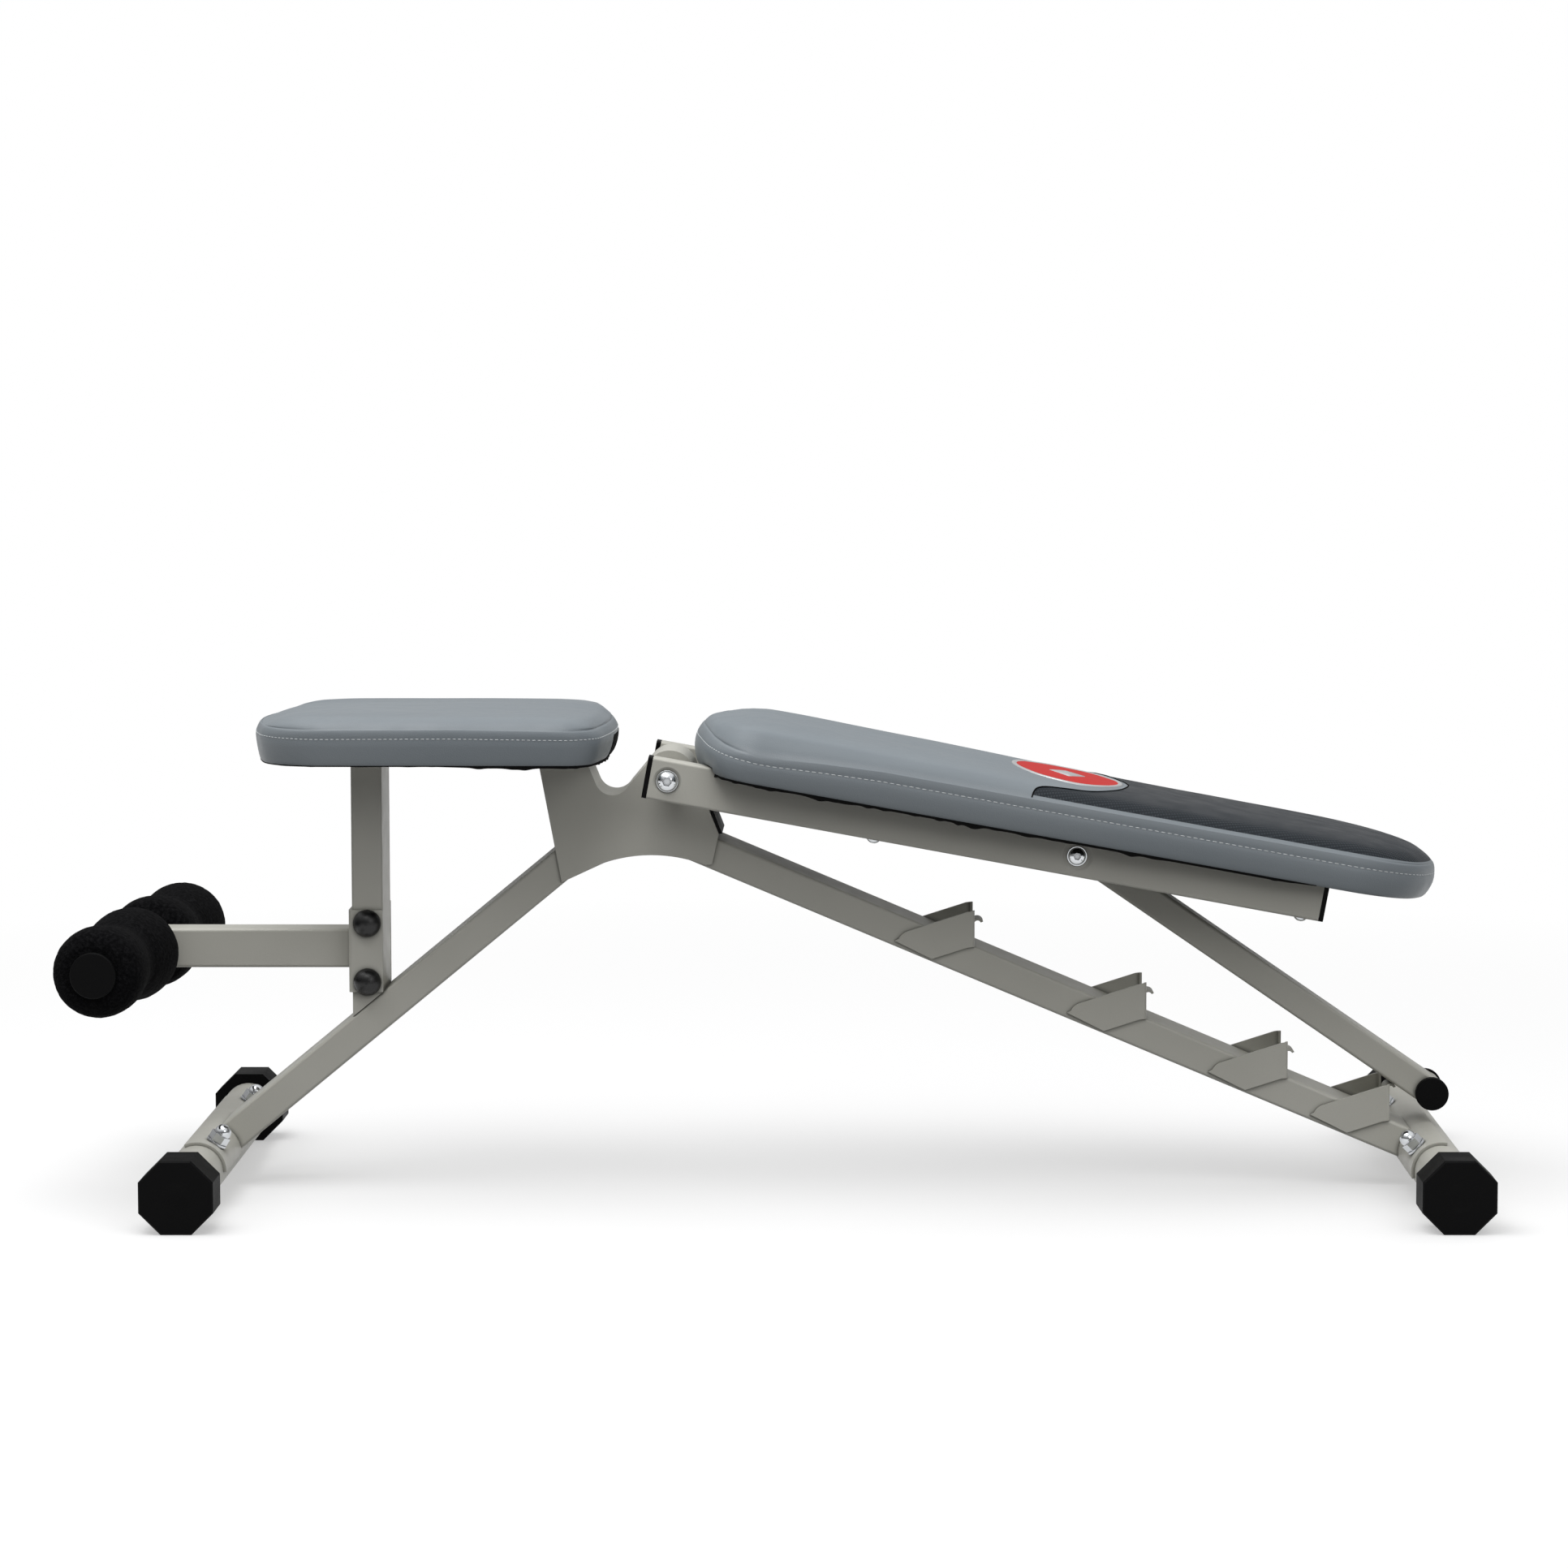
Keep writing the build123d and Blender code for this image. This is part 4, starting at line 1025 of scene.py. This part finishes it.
# One lobe from its end to the waist, before it grows: distance from the end and radius.
FOAM_LOBE = [
    (0.0, FOAM_BORE), (0.0, 20.0), (0.0, 28.0), (0.6, 31.5), (3.0, 35.0), (7.0, 38.2), (14.0, 40.6),
    (24.0, 41.4), (34.0, 41.3), (46.0, 40.2), (58.0, 38.3), (70.0, 36.2), (82.0, 34.8),
    (FOAM_MIDDLE - FOAM_ENDS[0], 34.5),
]


def foam_profile():
    """Distance along the bar and radius of each row of the sleeve, with the lobes grown and smoothed."""
    outer = [(FOAM_ENDS[0] + along, radius) for along, radius in FOAM_LOBE]
    outer += [(sum(FOAM_ENDS) - along, radius) for along, radius in reversed(outer[:-1])]
    outer = np.array(outer)
    growth = np.where(outer[:, 0] < FOAM_MIDDLE, *LOBE_GROWTH)
    outer[:, 1] *= np.where(outer[:, 1] > FOAM_WAIST, growth, 1.0)
    steps = np.concatenate([[0], np.cumsum(np.linalg.norm(np.diff(outer, axis=0), axis=1))])
    wanted = np.linspace(0, steps[-1], FOAM_ROWS)
    along = np.interp(wanted, steps, outer[:, 0])
    radius = np.interp(wanted, steps, outer[:, 1])
    kernel = np.array([1, 4, 6, 4, 1]) / 16.0
    for _ in range(6):
        smooth = np.convolve(radius, kernel, mode="same")
        radius[END_ROWS:-END_ROWS] = smooth[END_ROWS:-END_ROWS]
    return along, radius


def foam_grain(along, radius, angle, side):
    """Height of the grainy skin."""
    if radius < FOAM_BORE + 0.9:
        return 0.0
    place = Vector((along, math.cos(angle) * radius, math.sin(angle) * radius)) / 3.2
    return noise.noise(place + Vector((side * 9.0, 0, 0))) * 0.35 + noise.noise(place * 0.22) * 0.3


def foam_piece(side):
    """Two-lobed foam sleeve with a grainy skin, turned about the roller bar."""
    turns = 128
    verts = []
    for row, (along, radius) in enumerate(zip(*foam_profile())):
        for turn in range(turns):
            angle = 2 * math.pi * turn / turns
            grain = foam_grain(along, radius, angle, side)
            reach = (radius + grain) * MM
            ripple_along = grain * 0.5 if END_ROWS <= row < FOAM_ROWS - END_ROWS else 0.0
            y = side * (along + ripple_along) * MM
            x = reach * math.cos(angle)
            verts.append((
                ROLLER[0] * MM + x * math.cos(ROLLER_SKEW) + y * math.sin(ROLLER_SKEW),
                y * math.cos(ROLLER_SKEW) - x * math.sin(ROLLER_SKEW),
                ROLLER[1] * MM + reach * math.sin(angle),
            ))
    faces = band_faces(0, FOAM_ROWS, turns)
    last = (FOAM_ROWS - 1) * turns
    for turn in range(turns):
        after = (turn + 1) % turns
        faces.append((last + turn, turn, after, last + after))
    name = "near" if side < 0 else "far"
    piece = new_piece(f"foam_sleeve_{name}", verts, faces, (foam,), f"foam_roller_{name}")
    mended(piece.data)
    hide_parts(f"foam_roller_{name}")


foam_piece(-1)
foam_piece(1)

# ---------------------------------------------------------------- floor, light and camera
FLOOR_HALF = 30.0
floor_mesh = bpy.data.meshes.new("floor")
floor_corners = [(x * FLOOR_HALF, y * FLOOR_HALF, 0) for x, y in ((-1, -1), (1, -1), (1, 1), (-1, 1))]
floor_mesh.from_pydata(floor_corners, [], [(0, 1, 2, 3)])
floor = added("floor", floor_mesh)
floor.location.z = -0.2 * MM
floor_look = Look("studio_floor", (0.93, 0.93, 0.935), 0.9, Specular_IOR_Level=0.1)
drift = floor_look.noise(0.6, 2.0)
floor_look.to("Base Color", floor_look.mix(drift, (0.92, 0.92, 0.925), (0.94, 0.94, 0.94)))
far_away = floor_look.add("ShaderNodeVectorMath", {0: floor_look.place}, operation="LENGTH").outputs["Value"]
whiter = floor_look.span(far_away, 0.7, 2.4, 0.4, 1.0)
white = floor_look.add("ShaderNodeEmission", {"Color": (1.0, 1.0, 1.0, 1.0), "Strength": 1.0}).outputs[0]
blend = floor_look.add("ShaderNodeMixShader", {0: whiter, 1: floor_look.bsdf.outputs[0], 2: white})
below = floor_look.add("ShaderNodeNewGeometry").outputs["Backfacing"]
clear = floor_look.add("ShaderNodeBsdfTransparent").outputs[0]
from_above = floor_look.add("ShaderNodeMixShader", {0: below, 1: blend.outputs[0], 2: clear})
floor_look.tree.links.new(from_above.outputs[0], floor_look.tree.nodes["Material Output"].inputs["Surface"])
floor.visible_diffuse = False
floor_mesh.materials.append(floor_look.material)

world = bpy.data.worlds.new("studio")
scene.world = world
world.use_nodes = True
tree = world.node_tree
sky = tree.nodes["Background"]
direction = add_node(tree, "ShaderNodeTexCoord").outputs["Generated"]
parts = add_node(tree, "ShaderNodeSeparateXYZ", {0: direction})


def brighter(first, second):
    settings = {"operation": "MAXIMUM", "use_clamp": True}
    return add_node(tree, "ShaderNodeMath", {0: first, 1: second}, **settings).outputs[0]


def world_ramp(value, low, high, bottom, top):
    inputs = {"Value": value, "From Min": low, "From Max": high, "To Min": bottom, "To Max": top}
    return add_node(tree, "ShaderNodeMapRange", inputs, interpolation_type="SMOOTHSTEP").outputs["Result"]


overhead = world_ramp(parts.outputs["Z"], 0.15, 0.85, 0.16, 1.0)
beyond = world_ramp(parts.outputs["Y"], -0.1, 0.6, 0.16, 0.4)
camera_ray = add_node(tree, "ShaderNodeLightPath").outputs["Is Camera Ray"]
strength = brighter(brighter(overhead, beyond), camera_ray)
sky.inputs["Color"].default_value = (1.0, 1.0, 1.0, 1.0)
tree.links.new(strength, sky.inputs["Strength"])


def softbox(name, place, aim, size, power):
    """Rectangular area light aimed at a point."""
    light = bpy.data.lights.new(name, "AREA")
    light.shape = "RECTANGLE"
    light.size, light.size_y = size
    light.energy = power
    lamp = added(name, light)
    lamp.location = place
    lamp.rotation_euler = (Vector(aim) - Vector(place)).to_track_quat("-Z", "Y").to_euler()


softbox("key", (-0.7, -0.7, 2.7), (0.0, 0.0, 0.3), (2.6, 1.6), 42.0)
softbox("fill", (1.6, -2.6, 1.6), (0.1, 0.0, 0.3), (1.6, 1.2), 12.0)

camera_data = bpy.data.cameras.new("camera")
camera_data.lens = 104.87
camera_data.sensor_width = 36.0
camera_data.shift_x = -0.0445
camera_data.clip_end = 100.0
camera = added("camera", camera_data)
camera.location = (0.078156, -4.427, 0.799)
camera.rotation_euler = (math.radians(84.7313), 0.0, 0.0)
scene.camera = camera
scene.view_settings.view_transform = "Standard"
